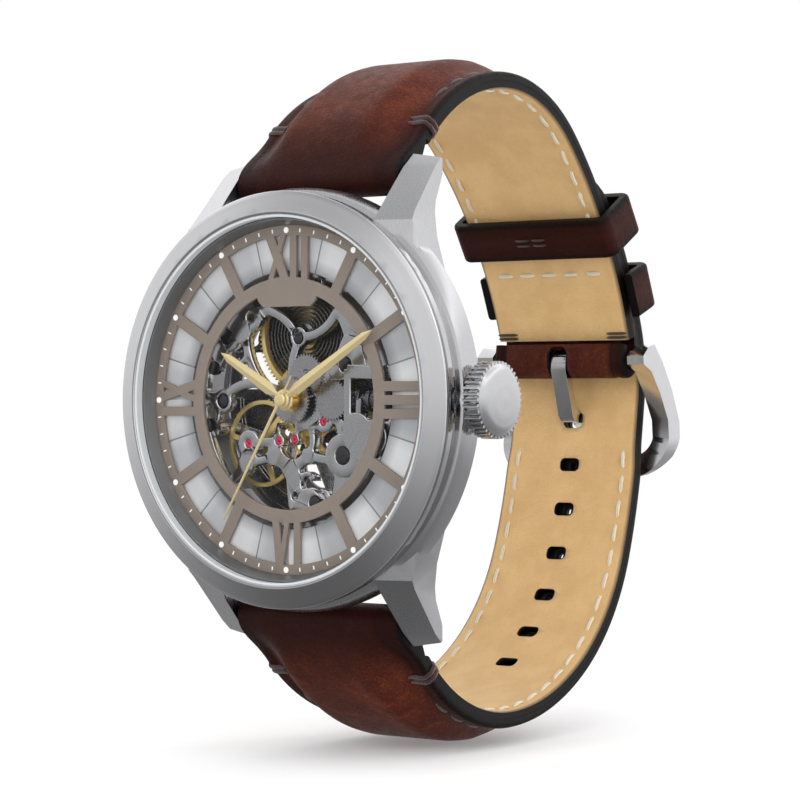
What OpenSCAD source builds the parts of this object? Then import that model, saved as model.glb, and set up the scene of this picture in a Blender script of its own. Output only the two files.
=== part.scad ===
// Skeleton automatic wristwatch on a buckled leather strap.
// Frame: origin at the centre of the case back's outer face, +X to the crown,
// +Y out of the back towards the wrist, +Z to 12 o'clock. Millimetres.
// The head is drawn in a dial frame (x right, y to 12, z from back to glass) and turned by dial_side().

/* [Case] */
// Widest diameter of the case middle
case_d = 45; // [44.5:0.1:45.4]
// Outer diameter of the bezel
bezel_d = 44; // [43.6:0.1:44.4]
// Inner diameter of the case middle
bore_d = 37.4; // [37.2:0.1:37.8]
// Height of the bezel seat over the back face
seat_z = 9.7; // [9.6:0.05:9.8]
// Height of the glass edge over the back face
glass_z = 11.2; // [11.1:0.05:11.4]
// Rise of the domed glass in the middle
dome = 0.5; // [0.3:0.1:0.7]
// Distance between the two lugs of a pair
lug_gap = 22.4; // [22.2:0.1:22.8]
// Distance of each spring bar from the centre
bar_r = 23.5; // [23.4:0.1:23.8]
// Height of the spring bars over the back face
bar_z = 2.3; // [2.2:0.1:2.4]

/* [Crown] */
// Height of the stem axis over the back face
stem_z = 5.8; // [5.75:0.05:5.85]
// Diameter of the crown
crown_d = 7.9; // [7.6:0.1:8.2]
// Number of grips round the crown
crown_grips = 40; // [30:1:48]
// Inner end of the crown
crown_x = 23.5; // [23.4:0.1:23.7]
// Length of the crown
crown_len = 2.6; // [2.4:0.1:2.8]

/* [Dial and hands] */
// Height of the dial's front face
dial_z = 8.8; // [8.75:0.05:8.9]
// Dial thickness
dial_t = 0.4; // [0.3:0.05:0.4]
// Outer radius of the dial
dial_r = 18.5; // [18.4:0.05:18.6]
// Inner radius of the minute track
track_r = 17.4; // [17.3:0.05:17.5]
// Outer radius of the inner dial ring
ring_out = 13; // [12.9:0.05:13.1]
// Inner radius of the inner dial ring
ring_in = 11.6; // [11.5:0.05:11.7]
// Width of the plain hour spokes
spoke_w = 1.3; // [1.1:0.1:1.4]
// Length of the hour hand
hour_len = 10.1; // [9.8:0.1:10.4]
// Length of the minute hand
minute_len = 13.9; // [13.6:0.1:14.2]
// Length of the second hand
second_len = 15; // [14.6:0.1:15.4]

/* [Movement] */
// Radius of the movement
plate_r = 13.6; // [13.5:0.05:13.65]
// Front face of the main plate
plate_z = 7.2; // [7.15:0.05:7.2]
// Thickness of the main plate
plate_t = 1; // [0.9:0.05:1]
// Distance from the centre to the barrel arbor
barrel_y = 7; // [6.98:0.01:7.02]
// Balance position
balance_xy = [-6.6, -4.7];
// Outer radius of the balance rim
balance_r = 4.7; // [4.6:0.05:4.75]

/* [Strap] */
// Strap half width at the lugs
strap_half = 11; // [10.8:0.05:11.05]
// Loss of half width over each millimetre towards the buckle
strap_taper = 0.038; // [0.03:0.002:0.04]
// Lining thickness
lining_t = 0.9; // [0.8:0.05:0.9]
// Strap thickness at the padded lug end
strap_pad = 4.4; // [4:0.1:4.6]
// Strap thickness at the buckle end
strap_thin = 1.95; // [1.85:0.05:2]
// Strap thickness where it turns over at the top of the loop
strap_mid = 3.6; // [3.2:0.1:3.8]

/* [Buckle] */
// Bar position, out from the back face and up
buckle_bar_yz = [44.6, 4.5];
// Bar radius
buckle_bar_r = 0.75; // [0.7:0.05:0.8]
// Half width over the buckle arms
buckle_half = 12; // [11.9:0.1:12.4]

/* [Hidden] */

steel = "silver";
brass = "goldenrod";
plate_grey = "lightgrey";
leather = "saddlebrown";
tan = "burlywood";
$fn = 64;

// Clearance between parts that touch or run in each other
gap = 0.05;

// Facets of the large turned rings
fine = 120;

// Glass radius, and the height of its flat inner face
glass_r = 19.2;
bezel_in_r = 19.5;
glass_base = seat_z + 0.45;

// --- hands: heights of their back faces, and turn from 12 in the rest pose ---
hour_hand_z = 9.05;
minute_hand_z = 9.45;
second_hand_z = 9.8;
hour_at = 60;
minute_at = -58.8;
second_at = -211;
hand_t = 0.2;
hand_tail = 1.2;

// --- levels in the movement, from the back face ---
bridge_z = 3.3;
bridge_t = 0.55;
winding_z = 3.95;
fourth_z = 4.28;
balance_z = 4.5;
drum_z = 4.5;
third_z = 4.72;
pallet_z = 5.35;
centre_z = 5.85;
motion_z = 7.25;
hour_wheel_z = 7.85;
plate_back = plate_z - plate_t;
pallet_cock_z = 4.97;
gear_z = 2.62;

// --- feet and pads of the bridges ---
train_feet = [[8.6, -6.6], [2.8, -10.4]];
barrel_feet = [[-10.9, 6.2], [10.6, 6.4]];
balance_foot = [-12, -3.2];
foot_h = plate_back - bridge_z - bridge_t - gap;
auto_feet = [[7.2, 6.6], [-7.2, 6.6]];
cover_pad = [6.8, -5.8];
cover_foot = [10.6, -3.9];
jewel_r = 0.45;

// --- wheel work ---
barrel_xy = [0, barrel_y];
barrel_teeth = 80;
leaf10 = 10;
barrel_pitch_r = barrel_y * barrel_teeth / (barrel_teeth + leaf10);
centre_pinion_r = barrel_y - barrel_pitch_r;
centre_teeth = 80;
third_teeth = 75;
third_dist = 4.3;
third_dir = -31.5;
third_xy = third_dist * [cos(third_dir), sin(third_dir)];
centre_pitch_r = third_dist * centre_teeth / (centre_teeth + leaf10);
third_pitch_r = third_dist * third_teeth / (third_teeth + leaf10);
fourth_teeth = 80;
leaf8 = 8;
escape_dist = 4.2;
escape_dir = -93.5;
escape_xy = escape_dist * [cos(escape_dir), sin(escape_dir)];
fourth_pitch_r = escape_dist * fourth_teeth / (fourth_teeth + leaf8);
escape_teeth = 20;
escape_r = 1.9;
pallet_dist = 1.155 * escape_r;
to_balance = balance_xy - escape_xy;
escape_to_balance = norm(to_balance);
lever_dir = atan2(to_balance[1], to_balance[0]);
pallet_xy = escape_xy + pallet_dist * to_balance / escape_to_balance;
fork_len = escape_to_balance - pallet_dist;
roller_r = 0.5;

// --- motion work ---
motion_dist = 3;
minute_dir = 60;
minute_xy = motion_dist * [cos(minute_dir), sin(minute_dir)];
cannon_teeth = 12;
minute_teeth = 36;
hour_teeth = 40;
setting_teeth = 34;
cannon_pitch_r = motion_dist * cannon_teeth / (cannon_teeth + minute_teeth);
minute_pitch_r = motion_dist - cannon_pitch_r;
hour_pitch_r = motion_dist * hour_teeth / (hour_teeth + leaf10);
setting_pitch_r = minute_pitch_r * setting_teeth / minute_teeth;
setting_reach = minute_pitch_r + setting_pitch_r;
setting_xy = [minute_xy[0] + sqrt(pow(setting_reach, 2) - pow(minute_xy[1], 2)), 0];

// --- winding work ---
winding_module = 0.14;
crown_wheel_teeth = 30;
ratchet_teeth = 66;
winding_teeth = 24;
crown_wheel_pitch_r = crown_wheel_teeth * winding_module / 2;
ratchet_pitch_r = ratchet_teeth * winding_module / 2;
winding_reach = 3 * crown_wheel_pitch_r + ratchet_pitch_r;
crown_wheel_xy = [sqrt(pow(winding_reach, 2) - pow(barrel_y, 2)), 0];
winding_line = (barrel_xy - crown_wheel_xy) / winding_reach;
winding_dir = atan2(winding_line[1], winding_line[0]);
intermediate_xy = crown_wheel_xy + 2 * crown_wheel_pitch_r * winding_line;
click_xy = [-6.5, 9.2];

// --- automatic work ---
rotor_teeth = 40;
reversing_teeth = 30;
auto_module = 0.1;
rotor_pitch_r = rotor_teeth * auto_module / 2;
reversing_pitch_r = reversing_teeth * auto_module / 2;
reversing_dir = 135;
reversing_xy = (rotor_pitch_r + reversing_pitch_r) * [cos(reversing_dir), sin(reversing_dir)];
auto_z = 2.9;
rotor_z = 2.2;
rotor_r = 12.8;
weight_in_r = 11.2;

// --- keyless work, with the crown pushed in ---
crown_travel = 1.2;
clutch_travel = 0.27;
clutch_x = 7.65;
clutch_r = 1.45;
lever_arm = 2.8;
lever_pin_x = 11.8;
lever_xy = [lever_pin_x + crown_travel / 2, lever_arm];
yoke_arm = 3.2;
yoke_tab_x = clutch_x + 1.05;
yoke_xy = [yoke_tab_x - clutch_travel / 2, -yoke_arm];

// --- strap paths in (y, z), measured on the wrist side, turning clockwise ---
back_y = -8.8;
lug_start = [10.8 + back_y, 27.2];
lug_heading = 48.6;
upper_r = 53;
upper_arcs = [[21.6, lug_heading], [17.84, 45], [upper_r, 28.2]];
lower_arcs = [[21.6, lug_heading], [27.6, 32], [24, 38], [66, 12]];
tail_arcs = [[1000, 0.3], [18, 26], [56, 24]];
upper_centre = [2.1 + back_y, -8.2];
fixed_keeper_dir = 22.4;
sliding_keeper_dir = 31.5;
spring_bar_yz = [-bar_z, bar_r];
loop_r = 1.95;
full_w = 30;
tail_w = 18;
slot_w = 2.7;
keeper_w = 19.7;

// ---------- helpers ----------

// Turns the dial frame into the part's frame
module dial_side() {
    rotate([90, 0, 0])
        children();
}

// Extrudes a (y, z) outline to both sides of the x = 0 plane
module across(width) {
    translate([-width / 2, 0, 0])
        rotate([90, 0, 90])
            linear_extrude(width)
                children();
}

// A disc or ring from z0 up
module disc(r, h, z0 = 0, bore = 0) {
    translate([0, 0, z0])
        difference() {
            cylinder(r = r, h = h);
            if (bore > 0)
                translate([0, 0, -1])
                    cylinder(r = bore, h = h + 2);
        }
}

// A cylinder along +X whose near end is at x0
module rod_x(r, length, x0 = 0) {
    translate([x0, 0, 0])
        rotate([0, 90, 0])
            cylinder(r = r, h = length);
}

// Moves to a place on the dial's plane
module at(p) {
    translate([p[0], p[1], 0])
        children();
}

// A flat bar between two points
module bar2(p, q, w) {
    d = q - p;
    translate(p)
        rotate(atan2(d[1], d[0]))
            translate([0, -w / 2])
                square([norm(d), w]);
}

// A bent strip on a circle, from angle a0 to a1
module arc2(r, w, a0, a1, steps = 10) {
    polygon(concat(
        [for (i = [0:steps]) let (a = a0 + (a1 - a0) * i / steps) (r + w / 2) * [cos(a), sin(a)]],
        [for (i = [steps:-1:0]) let (a = a0 + (a1 - a0) * i / steps) (r - w / 2) * [cos(a), sin(a)]]
    ));
}

// A flat ring
module ring2(r_out, r_in) {
    difference() {
        circle(r = r_out);
        circle(r = r_in);
    }
}

// Straight-sided teeth, with a tooth centred on the +X direction
function tooth_points(n, pitch_r, depth) = [
    for (i = [0:n - 1], k = [0:3])
        let (a = 360 / n * (i + [-0.3, -0.12, 0.12, 0.3][k]))
        let (r = pitch_r + (k == 0 || k == 3 ? -1.2 : 0.8) * depth)
        r * [cos(a), sin(a)]
];

// A solid toothed wheel from z0 up
module gear(n, pitch_r, h, z0, phase = 0, bore = 0) {
    translate([0, 0, z0])
        rotate(phase)
            linear_extrude(h)
                difference() {
                    polygon(tooth_points(n, pitch_r, 2 * pitch_r / n));
                    if (bore > 0)
                        circle(r = bore);
                }
}

// Phase of a wheel with nb teeth that meshes one with na teeth, seen from that wheel at angle dir
function mesh_phase(phase_a, dir, na, nb) = dir + 180 + 180 / nb - (phase_a - dir) * na / nb;

// A spoked wheel with a rim of straight teeth
module spoked_gear(n, pitch_r, h, z0, phase, rim, hub, spokes, spoke, bore) {
    difference() {
        gear(n, pitch_r, h, z0, phase, bore);
        translate([0, 0, z0 - 1])
            linear_extrude(h + 2)
                difference() {
                    ring2(pitch_r - rim, hub);
                    for (i = [0:spokes - 1])
                        rotate(i * 360 / spokes)
                            translate([0, -spoke / 2])
                                square([pitch_r, spoke]);
                }
    }
}

// A flat spiral strip from radius r0 to r1
function spiral_points(r0, r1, turns, w) = let (steps = turns * 20) concat(
    [for (i = [0:steps]) (r0 + (r1 - r0) * i / steps + w / 2) * [cos(18 * i), sin(18 * i)]],
    [for (i = [steps:-1:0]) (r0 + (r1 - r0) * i / steps - w / 2) * [cos(18 * i), sin(18 * i)]]
);

// Points and outward normals along a chain of clockwise arcs, each [radius, sweep]
function trace(p, heading, arcs, i = 0) = i == len(arcs) ? [] :
    let (r = arcs[i][0], sweep = arcs[i][1], c = p + r * [sin(heading), -cos(heading)])
    let (steps = max(1, ceil(sweep / 4)), last = heading - sweep)
    concat(
        [for (k = [i == 0 ? 0 : 1:steps])
            let (a = heading - sweep * k / steps, n = [-sin(a), cos(a)])
            [c + r * n, n]],
        trace(c + r * [-sin(last), cos(last)], last, arcs, i + 1)
    );

function trace_end(p, heading, arcs) = let (t = trace(p, heading, arcs)) t[len(t) - 1][0];
function total_sweep(arcs, i = 0) = i == len(arcs) ? 0 : arcs[i][1] + total_sweep(arcs, i + 1);

// Outline between two offsets of a path; the outer one goes from hi0 to hi1 along it
function band_points(path, lo, hi0, hi1) = let (n = len(path) - 1) concat(
    [for (q = path) q[0] + lo * q[1]],
    [for (i = [n:-1:0]) path[i][0] + (hi0 + (hi1 - hi0) * i / n) * path[i][1]]
);

upper_path = trace(lug_start, lug_heading, upper_arcs);
lower_path = trace(lug_start, lug_heading, lower_arcs);
tail_start = trace_end(lug_start, lug_heading, lower_arcs);
tail_path = trace(tail_start, lug_heading - total_sweep(lower_arcs), tail_arcs);

// ---------- case ----------

module lug() {
    inner = lug_gap / 2;
    intersection() {
        linear_extrude(10)
            polygon([[inner, 13], [inner, 27], [14.4, 26.4], [15, 19.5], [16.8, 13]]);
        translate([inner, 0, 7.9])
            rotate([0, 18, 0])
                translate([-4, 0, -7.9])
                    rotate([90, 0, 90])
                        linear_extrude(14)
                            polygon([[12, 9.2], [18.6, 8.3], [24.4, 3.4], [26, 1.6], [26, -6], [12, -6]]);
        rotate([90, 0, 90])
            linear_extrude(20)
                polygon([[12, 3.2], [17, 3.3], [20.8, 2.4], [23.6, 0.9], [25.2, 0.7], [26.1, 1.5],
                    [26, 10], [12, 10]]);
    }
}

module case_middle() color(steel) dial_side() {
    flank = case_d / 2;
    difference() {
        union() {
            rotate_extrude($fn = fine)
                polygon([[17.6, 1.3], [18.4, 1.3], [20.3, 2.2], [flank - 0.75, 4.1], [flank, 5.2],
                    [flank, 6.9], [flank - 0.35, 7.6], [21.4, 7.85], [21.4, 8.75], [21.9, 8.86],
                    [21.9, 9.55], [21.3, seat_z], [17.6, seat_z]]);
            for (sx = [0, 1], sy = [0, 1])
                mirror([sx, 0, 0])
                    mirror([0, sy, 0])
                        lug();
        }
        translate([0, 0, -1])
            cylinder(r = bore_d / 2, h = 20, $fn = fine);
        translate([0, 0, dial_z])
            cylinder(r = glass_r, h = 2, $fn = fine);
        translate([0, 0, stem_z])
            rod_x(1.5, 10, 17);
        for (sy = [-1, 1])
            translate([-lug_gap / 2 - 1.4, sy * bar_r, bar_z])
                rod_x(0.5, lug_gap + 2.8);
    }
}

module bezel() color(steel) dial_side() {
    outer = bezel_d / 2;
    rotate_extrude($fn = fine)
        polygon([[bezel_in_r, seat_z + gap], [21.5, seat_z + gap], [outer, 10.05], [outer, 10.3],
            [21.5, 10.5], [19.8, 11.25], [bezel_in_r, 11.2]]);
}

// Points of the domed top, from the rim to the axis
function dome_points(r, steps = 24) = let (sphere_r = (r * r + dome * dome) / (2 * dome))
    [for (i = [0:steps]) let (x = r * (1 - i / steps))
        [x, glass_z + dome - sphere_r + sqrt(sphere_r * sphere_r - x * x)]];

module crystal() color("white", 0.3) dial_side()
    rotate_extrude($fn = fine)
        polygon(concat([[0, glass_base], [glass_r, glass_base]], dome_points(glass_r)));

module crystal_gasket() color("white", 0.6) dial_side()
    rotate_extrude($fn = fine)
        polygon([[glass_r + 0.02, glass_base], [bezel_in_r - 0.02, glass_base], [bezel_in_r - 0.02, 11.1],
            [glass_r + 0.02, 11.05]]);

module flange_ring() color("grey") dial_side()
    rotate_extrude($fn = fine)
        polygon([[18.45, dial_z + gap], [19.15, dial_z + gap], [19.15, glass_base - gap],
            [18.95, glass_base - gap]]);

// ---------- dial ----------

// Strokes of one roman numeral, drawn upright around x = 0 between two radii
module numeral(strokes) {
    for (s = strokes)
        bar2([s[0], ring_out - 0.3], [s[1], track_r + 0.3], s[2]);
}

module dial() color("rosybrown") dial_side()
    translate([0, 0, dial_z - dial_t])
        linear_extrude(dial_t)
            difference() {
                union() {
                    difference() {
                        circle(r = dial_r, $fn = fine);
                        circle(r = track_r, $fn = fine);
                    }
                    ring2(ring_out, ring_in, $fn = fine);
                    for (h = [1, 2, 4, 5, 7, 8, 10, 11])
                        rotate(-30 * h)
                            translate([-spoke_w / 2, ring_out - 0.2])
                                square([spoke_w, track_r - ring_out + 0.4]);
                    numeral([[-0.2, -2.5, 1.05], [-2.2, -0.4, 0.6], [0.9, 0.9, 0.85], [2.4, 2.4, 0.85]]);
                    rotate(-90)
                        numeral([[-1.42, -1.42, 1.02], [0, 0, 1.02], [1.42, 1.42, 1.02]]);
                    rotate(180)
                        numeral([[1.5, 0.95, 0.95], [-0.1, 0.85, 0.6], [-1.4, -1.4, 0.85]]);
                    rotate(90)
                        numeral([[1.7, 0.3, 1], [0.05, 1.95, 0.65], [-1.23, -1.23, 1]]);
                    polygon([[-4.3, 12.1], [-3.9, 10.5], [-3.2, 9.85],
                        [3.2, 9.85], [3.9, 10.5], [4.3, 12.1]]);
                }
            }

// ---------- hands ----------

// A lance blade along +Y: a narrow neck, full width beyond it, then tapering to a short point
module hand(length, width, boss, bore) {
    side = [[0.32 * width, -0.3 * hand_tail], [0.2 * width, boss + 0.3], [width / 2, boss + 1.3],
        [0.32 * width, length - 1.2]];
    difference() {
        union() {
            linear_extrude(hand_t)
                polygon(concat([[0, -hand_tail]], side, [[0, length]],
                    [for (i = [len(side) - 1:-1:0]) [-side[i][0], side[i][1]]]));
            cylinder(r = boss, h = hand_t);
        }
        translate([0, 0, -1])
            cylinder(r = bore, h = hand_t + 2);
    }
}

module hour_hand() color(brass) dial_side()
    translate([0, 0, hour_hand_z])
        rotate(hour_at)
            hand(hour_len, 1.35, 1.15, 0.72);

module minute_hand() color(brass) dial_side()
    translate([0, 0, minute_hand_z])
        rotate(minute_at)
            hand(minute_len, 1.3, 0.95, 0.48);

module second_hand() color(brass) dial_side()
    translate([0, 0, second_hand_z])
        rotate(second_at)
            difference() {
                union() {
                    linear_extrude(0.14)
                        polygon([[-0.22, -3], [0.22, -3], [0.1, second_len], [-0.1, second_len]]);
                    cylinder(r = 0.7, h = 0.3);
                }
                translate([0, 0, -1])
                    cylinder(r = 0.21, h = 1.15);
            }

// ---------- holder and back ----------

module holder_ring() color("white", 0.5) dial_side()
    difference() {
        disc(bore_d / 2 - gap, dial_z - dial_t - gap - 3, 3, plate_r + gap);
        translate([0, 0, stem_z])
            rod_x(0.9, 10, 12);
    }

module case_back() color(steel) dial_side()
    difference() {
        union() {
            cylinder(r = 18.2, h = 1.25, $fn = fine);
            disc(17.5, 1.5, 1, 15.6);
        }
        translate([0, 0, 0.35])
            cylinder(r = 14.4, h = 3, $fn = fine);
        translate([0, 0, -1])
            cylinder(r = 13.4, h = 3, $fn = fine);
        for (i = [0:5])
            rotate(60 * i + 30)
                translate([17, 0, -0.01])
                    cylinder(r = 0.7, h = 0.45);
    }

module back_crystal() color("white", 0.3) dial_side() {
    disc(13.35, 0.4, 0);
    disc(14.35, 0.85, 0.37);
}

module back_gasket() color("black") dial_side()
    disc(18.3, 0.3, 1.27, 17.7);

// ---------- crown ----------

// Moves from the dial frame's origin up to the stem axis
module along_stem() {
    dial_side()
        translate([0, 0, stem_z])
            children();
}

module crown() color(steel) along_stem() {
    r = crown_d / 2;
    grip_len = crown_len - 0.8;
    difference() {
        union() {
            translate([crown_x, 0, 0])
                rotate([0, 90, 0])
                    linear_extrude(grip_len)
                        polygon([for (i = [0:crown_grips - 1], k = [0:3])
                            let (a = 360 / crown_grips * (i + [-0.3, -0.2, 0.2, 0.3][k]))
                            (r - (k == 0 || k == 3 ? 0.3 : 0)) * [cos(a), sin(a)]]);
            translate([crown_x + grip_len, 0, 0])
                rotate([0, 90, 0])
                    rotate_extrude()
                        polygon([[0, -0.5], [r - 0.3, -0.5], [r - 0.3, 0.05], [r - 0.5, 0.2],
                            [r - 0.9, 0.5], [r - 2.2, 0.72], [0, 0.8]]);
        }
        rod_x(1.75, 1.9, crown_x - 0.2);
    }
}

module crown_tube() color(steel) along_stem()
    difference() {
        rod_x(1.48, 6.1, 18.75);
        rod_x(0.85, 8, 18);
    }

module crown_gasket() color("black") along_stem()
    difference() {
        rod_x(1.73, 0.5, crown_x + 0.5);
        rod_x(1.5, 2, crown_x);
    }

module winding_stem() color(steel) along_stem()
    difference() {
        rod_x(0.6, crown_x + 1.68 - 6.35, 6.35);
        difference() {
            rod_x(0.8, 1.0, lever_pin_x - 0.5);
            rod_x(0.32, 3, lever_pin_x - 1);
        }
    }

module spring_bars() color(steel) dial_side()
    for (sy = [-1, 1])
        translate([0, sy * bar_r, bar_z]) {
            rod_x(0.75, lug_gap - 0.4, 0.2 - lug_gap / 2);
            rod_x(0.42, lug_gap + 2.2, -lug_gap / 2 - 1.1);
        }

// ---------- plates and bridges ----------

// A flat disc at a place
module boss2(p, r) {
    translate(p)
        circle(r = r);
}

// Round hooks that end in a disc, the ornament of the open plates
module scroll2(p, r, w, a0, a1) {
    translate(p) {
        arc2(r, w, a0, a1);
        translate(r * [cos(a1), sin(a1)])
            circle(r = 0.75 * w);
    }
}

// A curved arm of the open plates, drawn round a centre
module arm2(p, r, w, a0, a1) {
    translate(p)
        arc2(r, w, a0, a1);
}

// The three curved arms that carry the front of the barrel
module barrel_arms2() {
    boss2([0.3, 6.7], 1.1);
    arm2([-4.7, 4.4], 5.2, 0.95, 20, 100);
    arm2([1, 11.6], 4.9, 0.95, -105, -20);
    bar2([0.3, 6.6], [-0.5, 4.4], 0.95);
    bar2([-0.5, 4.5], [-0.9, 1.5], 0.95);
}

// Upper left: the plate beside the barrel
module upper_left2() {
    boss2([-5.3, 10.2], 1.7);
    boss2([-6.4, 8.9], 1.6);
    boss2([-7.6, 7.6], 1.4);
    boss2([-9.6, 6.9], 1.7);
    bar2([-9.6, 6.9], [-11.8, 3.6], 2);
    arm2(barrel_xy, 7.05, 0.95, 165, 262);
    scroll2([-8.1, 5.2], 1.2, 0.55, 80, -120);
}

// Left: the curved arm from the rim to the centre
module left_arm2() {
    boss2([-10.3, -0.1], 1.3);
    arm2([-6.2, -4.1], 5.9, 1, 136, 78);
    bar2([-5.2, 1.7], [-2.2, 0.7], 1.1);
    bar2([-10.3, 0], [-12.9, 0.3], 1.4);
    scroll2([-11.9, -1.6], 1, 0.5, 60, -110);
}

// Upper right: the broad plate with a spiral at its corner
module upper_right2() {
    polygon([[2.1, 2.4], [3, 1.4], [5.2, 2], [8.2, 2.2], [10, 3.2], [11.4, 5.4], [10.4, 8.4], [8.4, 10],
        [6, 10.4], [5.4, 9], [6.4, 6.8], [5.4, 4.9], [4, 3.7]]);
    scroll2([7.3, 9.4], 1.3, 0.6, 200, -60);
}

// Lower right: under the keyless cover
module lower_right2() {
    polygon([[4.8, -1.2], [5.6, -2.2], [10.6, -1.9], [12.9, -2.4], [12.4, -6], [9.6, -9.2], [6.4, -11.6],
        [4.6, -11], [5.2, -8], [4.6, -5.4], [5.6, -3.6]]);
    bar2([4.9, 0], [5.2, -2.4], 1.9);
}

// Lower middle: jewelled pads round the window over the escape wheel
module lower_pads2() {
    boss2([0.7, -2.2], 1.1);
    boss2(third_xy, 1.2);
    bar2([0.7, -2.2], third_xy, 1.6);
    arm2(escape_xy, 2.45, 0.7, -60, 65);
    arm2(escape_xy, 2.45, 0.7, 140, 300);
    boss2(escape_xy, 0.62);
    bar2(escape_xy, [0.4, -2.2], 0.6);
    boss2(pallet_xy, 0.8);
    boss2([-3.2, -6.1], 1);
    boss2([1.6, -5.9], 0.95);
    boss2([-0.8, -7.4], 1.2);
    bar2([-3.2, -6.1], [-0.8, -7.4], 1.2);
    bar2([1.6, -5.9], [-0.8, -7.4], 1.1);
    bar2([-0.8, -7.4], [-0.2, -12.9], 1.4);
    bar2([1.6, -5.9], [4.8, -6.4], 0.9);
    boss2([1.6, -11.2], 1.9);
    scroll2([1.5, -8.9], 1.1, 0.5, 200, 40);
}

// Lower left: pads that carry the balance
module balance_pads2() {
    boss2(balance_xy, 1.5);
    boss2([-7.1, -7], 1.1);
    bar2(balance_xy, [-7.1, -7], 1.2);
    bar2([-7.1, -7], [-9.4, -9], 1);
    bar2([-7.1, -7], [-3.2, -6.1], 0.8);
    bar2(balance_xy, pallet_xy, 0.9);
}

module main_plate() color(plate_grey) dial_side()
    difference() {
        translate([0, 0, plate_back])
            linear_extrude(plate_t)
                difference() {
                    intersection() {
                        circle(r = plate_r, $fn = fine);
                        union() {
                            ring2(plate_r, plate_r - 1.1, $fn = fine);
                            offset(r = -0.3, $fn = 16)
                                offset(r = 0.3, $fn = 16)
                                    union() {
                                        ring2(plate_r - 0.1, plate_r - 1.1, $fn = 72);
                                        boss2([0, 0], 2.2);
                                        boss2(minute_xy, 1);
                                        bar2([0, 0], minute_xy, 1.4);
                                        boss2([4.6, 0], 1.5);
                                        bar2([0, 0], [4.6, 0], 1.8);
                                        bar2([0, 0], [0.7, -2.2], 1.6);
                                        barrel_arms2();
                                        upper_left2();
                                        left_arm2();
                                        upper_right2();
                                        lower_right2();
                                        lower_pads2();
                                        balance_pads2();
                                        bar2([9.6, 3], [12.9, 4.6], 2.6);
                                    }
                        }
                    }
                    boss2([8.4, 6.2], 0.5);
                    boss2([-6.3, 8.9], 0.55);
                    boss2([10.4, -5.2], 0.9);
                    boss2([-0.2, -10.2], 0.45);
                    translate([6, -1.75])
                        square([9, 3.5]);
                }
        for (p = [[0, 0], barrel_xy])
            translate([p[0], p[1], plate_back - 1])
                cylinder(r = 0.55, h = 4);
        for (p = [third_xy, escape_xy, pallet_xy, balance_xy])
            translate([p[0], p[1], plate_back - 1])
                cylinder(r = jewel_r, h = 4);
        for (p = [minute_xy, setting_xy])
            translate([p[0], p[1], plate_back + 0.4])
                cylinder(r = 0.3, h = 4);
        for (p = plate_screws)
            translate([p[0], p[1], plate_z - 0.55])
                cylinder(r = p[2] + gap, h = 1);
    }

// x, y and head radius of the screws set into the main plate
plate_screws = [
    [-9.7, 6.8, 0.75], [-5.4, 10.6, 0.6], [-11.4, 3.4, 0.7], [-10.2, -0.1, 0.7], [-11.9, -2.7, 0.65],
    [0.3, 6.6, 0.6], [2.6, -10.9, 0.75], [10.9, -2.2, 0.6], [6.6, 3.7, 0.75], [4.2, 11.6, 0.6]
];

// Place and hole radius of the jewels in the main plate
plate_jewels = [
    [third_xy, 0.11], [escape_xy, 0.1], [pallet_xy, 0.1], [balance_xy, 0.1]
];

// A bridge plate with jewelled holes
module bridge_plate(holes, z0 = bridge_z, t = bridge_t, bore = jewel_r) {
    translate([0, 0, z0])
        linear_extrude(t)
            difference() {
                children();
                for (p = holes)
                    boss2(p, bore);
            }
}

// Pillars from a bridge up to the back of the main plate
module bridge_feet(places, r) {
    for (p = places)
        translate([p[0], p[1], bridge_z + bridge_t])
            cylinder(r = r, h = foot_h);
}

module train_bridge() color(plate_grey) dial_side() {
    bridge_plate([[0, 0], third_xy, escape_xy])
        union() {
            boss2([0, 0], 1.6);
            boss2(third_xy, 1.5);
            boss2(escape_xy, 1.2);
            bar2([0, 0], third_xy, 2);
            bar2([0, 0], escape_xy, 1.8);
            bar2(third_xy, train_feet[0], 2);
            bar2(escape_xy, train_feet[1], 1.8);
            boss2(train_feet[0], 1.6);
            boss2(train_feet[1], 1.6);
            bar2(train_feet[0], train_feet[1], 1.4);
        }
    bridge_feet(train_feet, 1);
}

module barrel_bridge() color(plate_grey) dial_side() {
    translate([0, 0, bridge_z])
        linear_extrude(bridge_t)
            difference() {
                intersection() {
                    circle(r = 12.9);
                    union() {
                        translate([-14, 5.2])
                            square([28, 10]);
                        translate([5.2, 1.6])
                            square([9, 5]);
                        bar2([5.4, 2.2], crown_wheel_xy, 2.6);
                        boss2(crown_wheel_xy, 1.5);
                        boss2(intermediate_xy, 1.5);
                        boss2(barrel_xy, 2.6);
                    }
                }
                boss2(barrel_xy, 0.62);
                boss2([-8.8, 6.9], 1.1);
                boss2([6.4, 8.8], 1.3);
            }
    for (p = [crown_wheel_xy, intermediate_xy, click_xy])
        translate([p[0], p[1], bridge_z + bridge_t - gap])
            cylinder(r = 0.4, h = 0.4);
    bridge_feet(barrel_feet, 1);
}

module balance_cock() color(plate_grey) dial_side() {
    stud = balance_xy + 2.05 * [cos(40), sin(40)];
    bridge_plate([balance_xy])
        union() {
            boss2(balance_xy, 1.4);
            bar2(balance_xy, balance_foot, 2.1);
            bar2(balance_xy, stud, 0.7);
            boss2(balance_foot, 1.2);
        }
    bridge_feet([balance_foot], 0.8);
}

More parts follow.
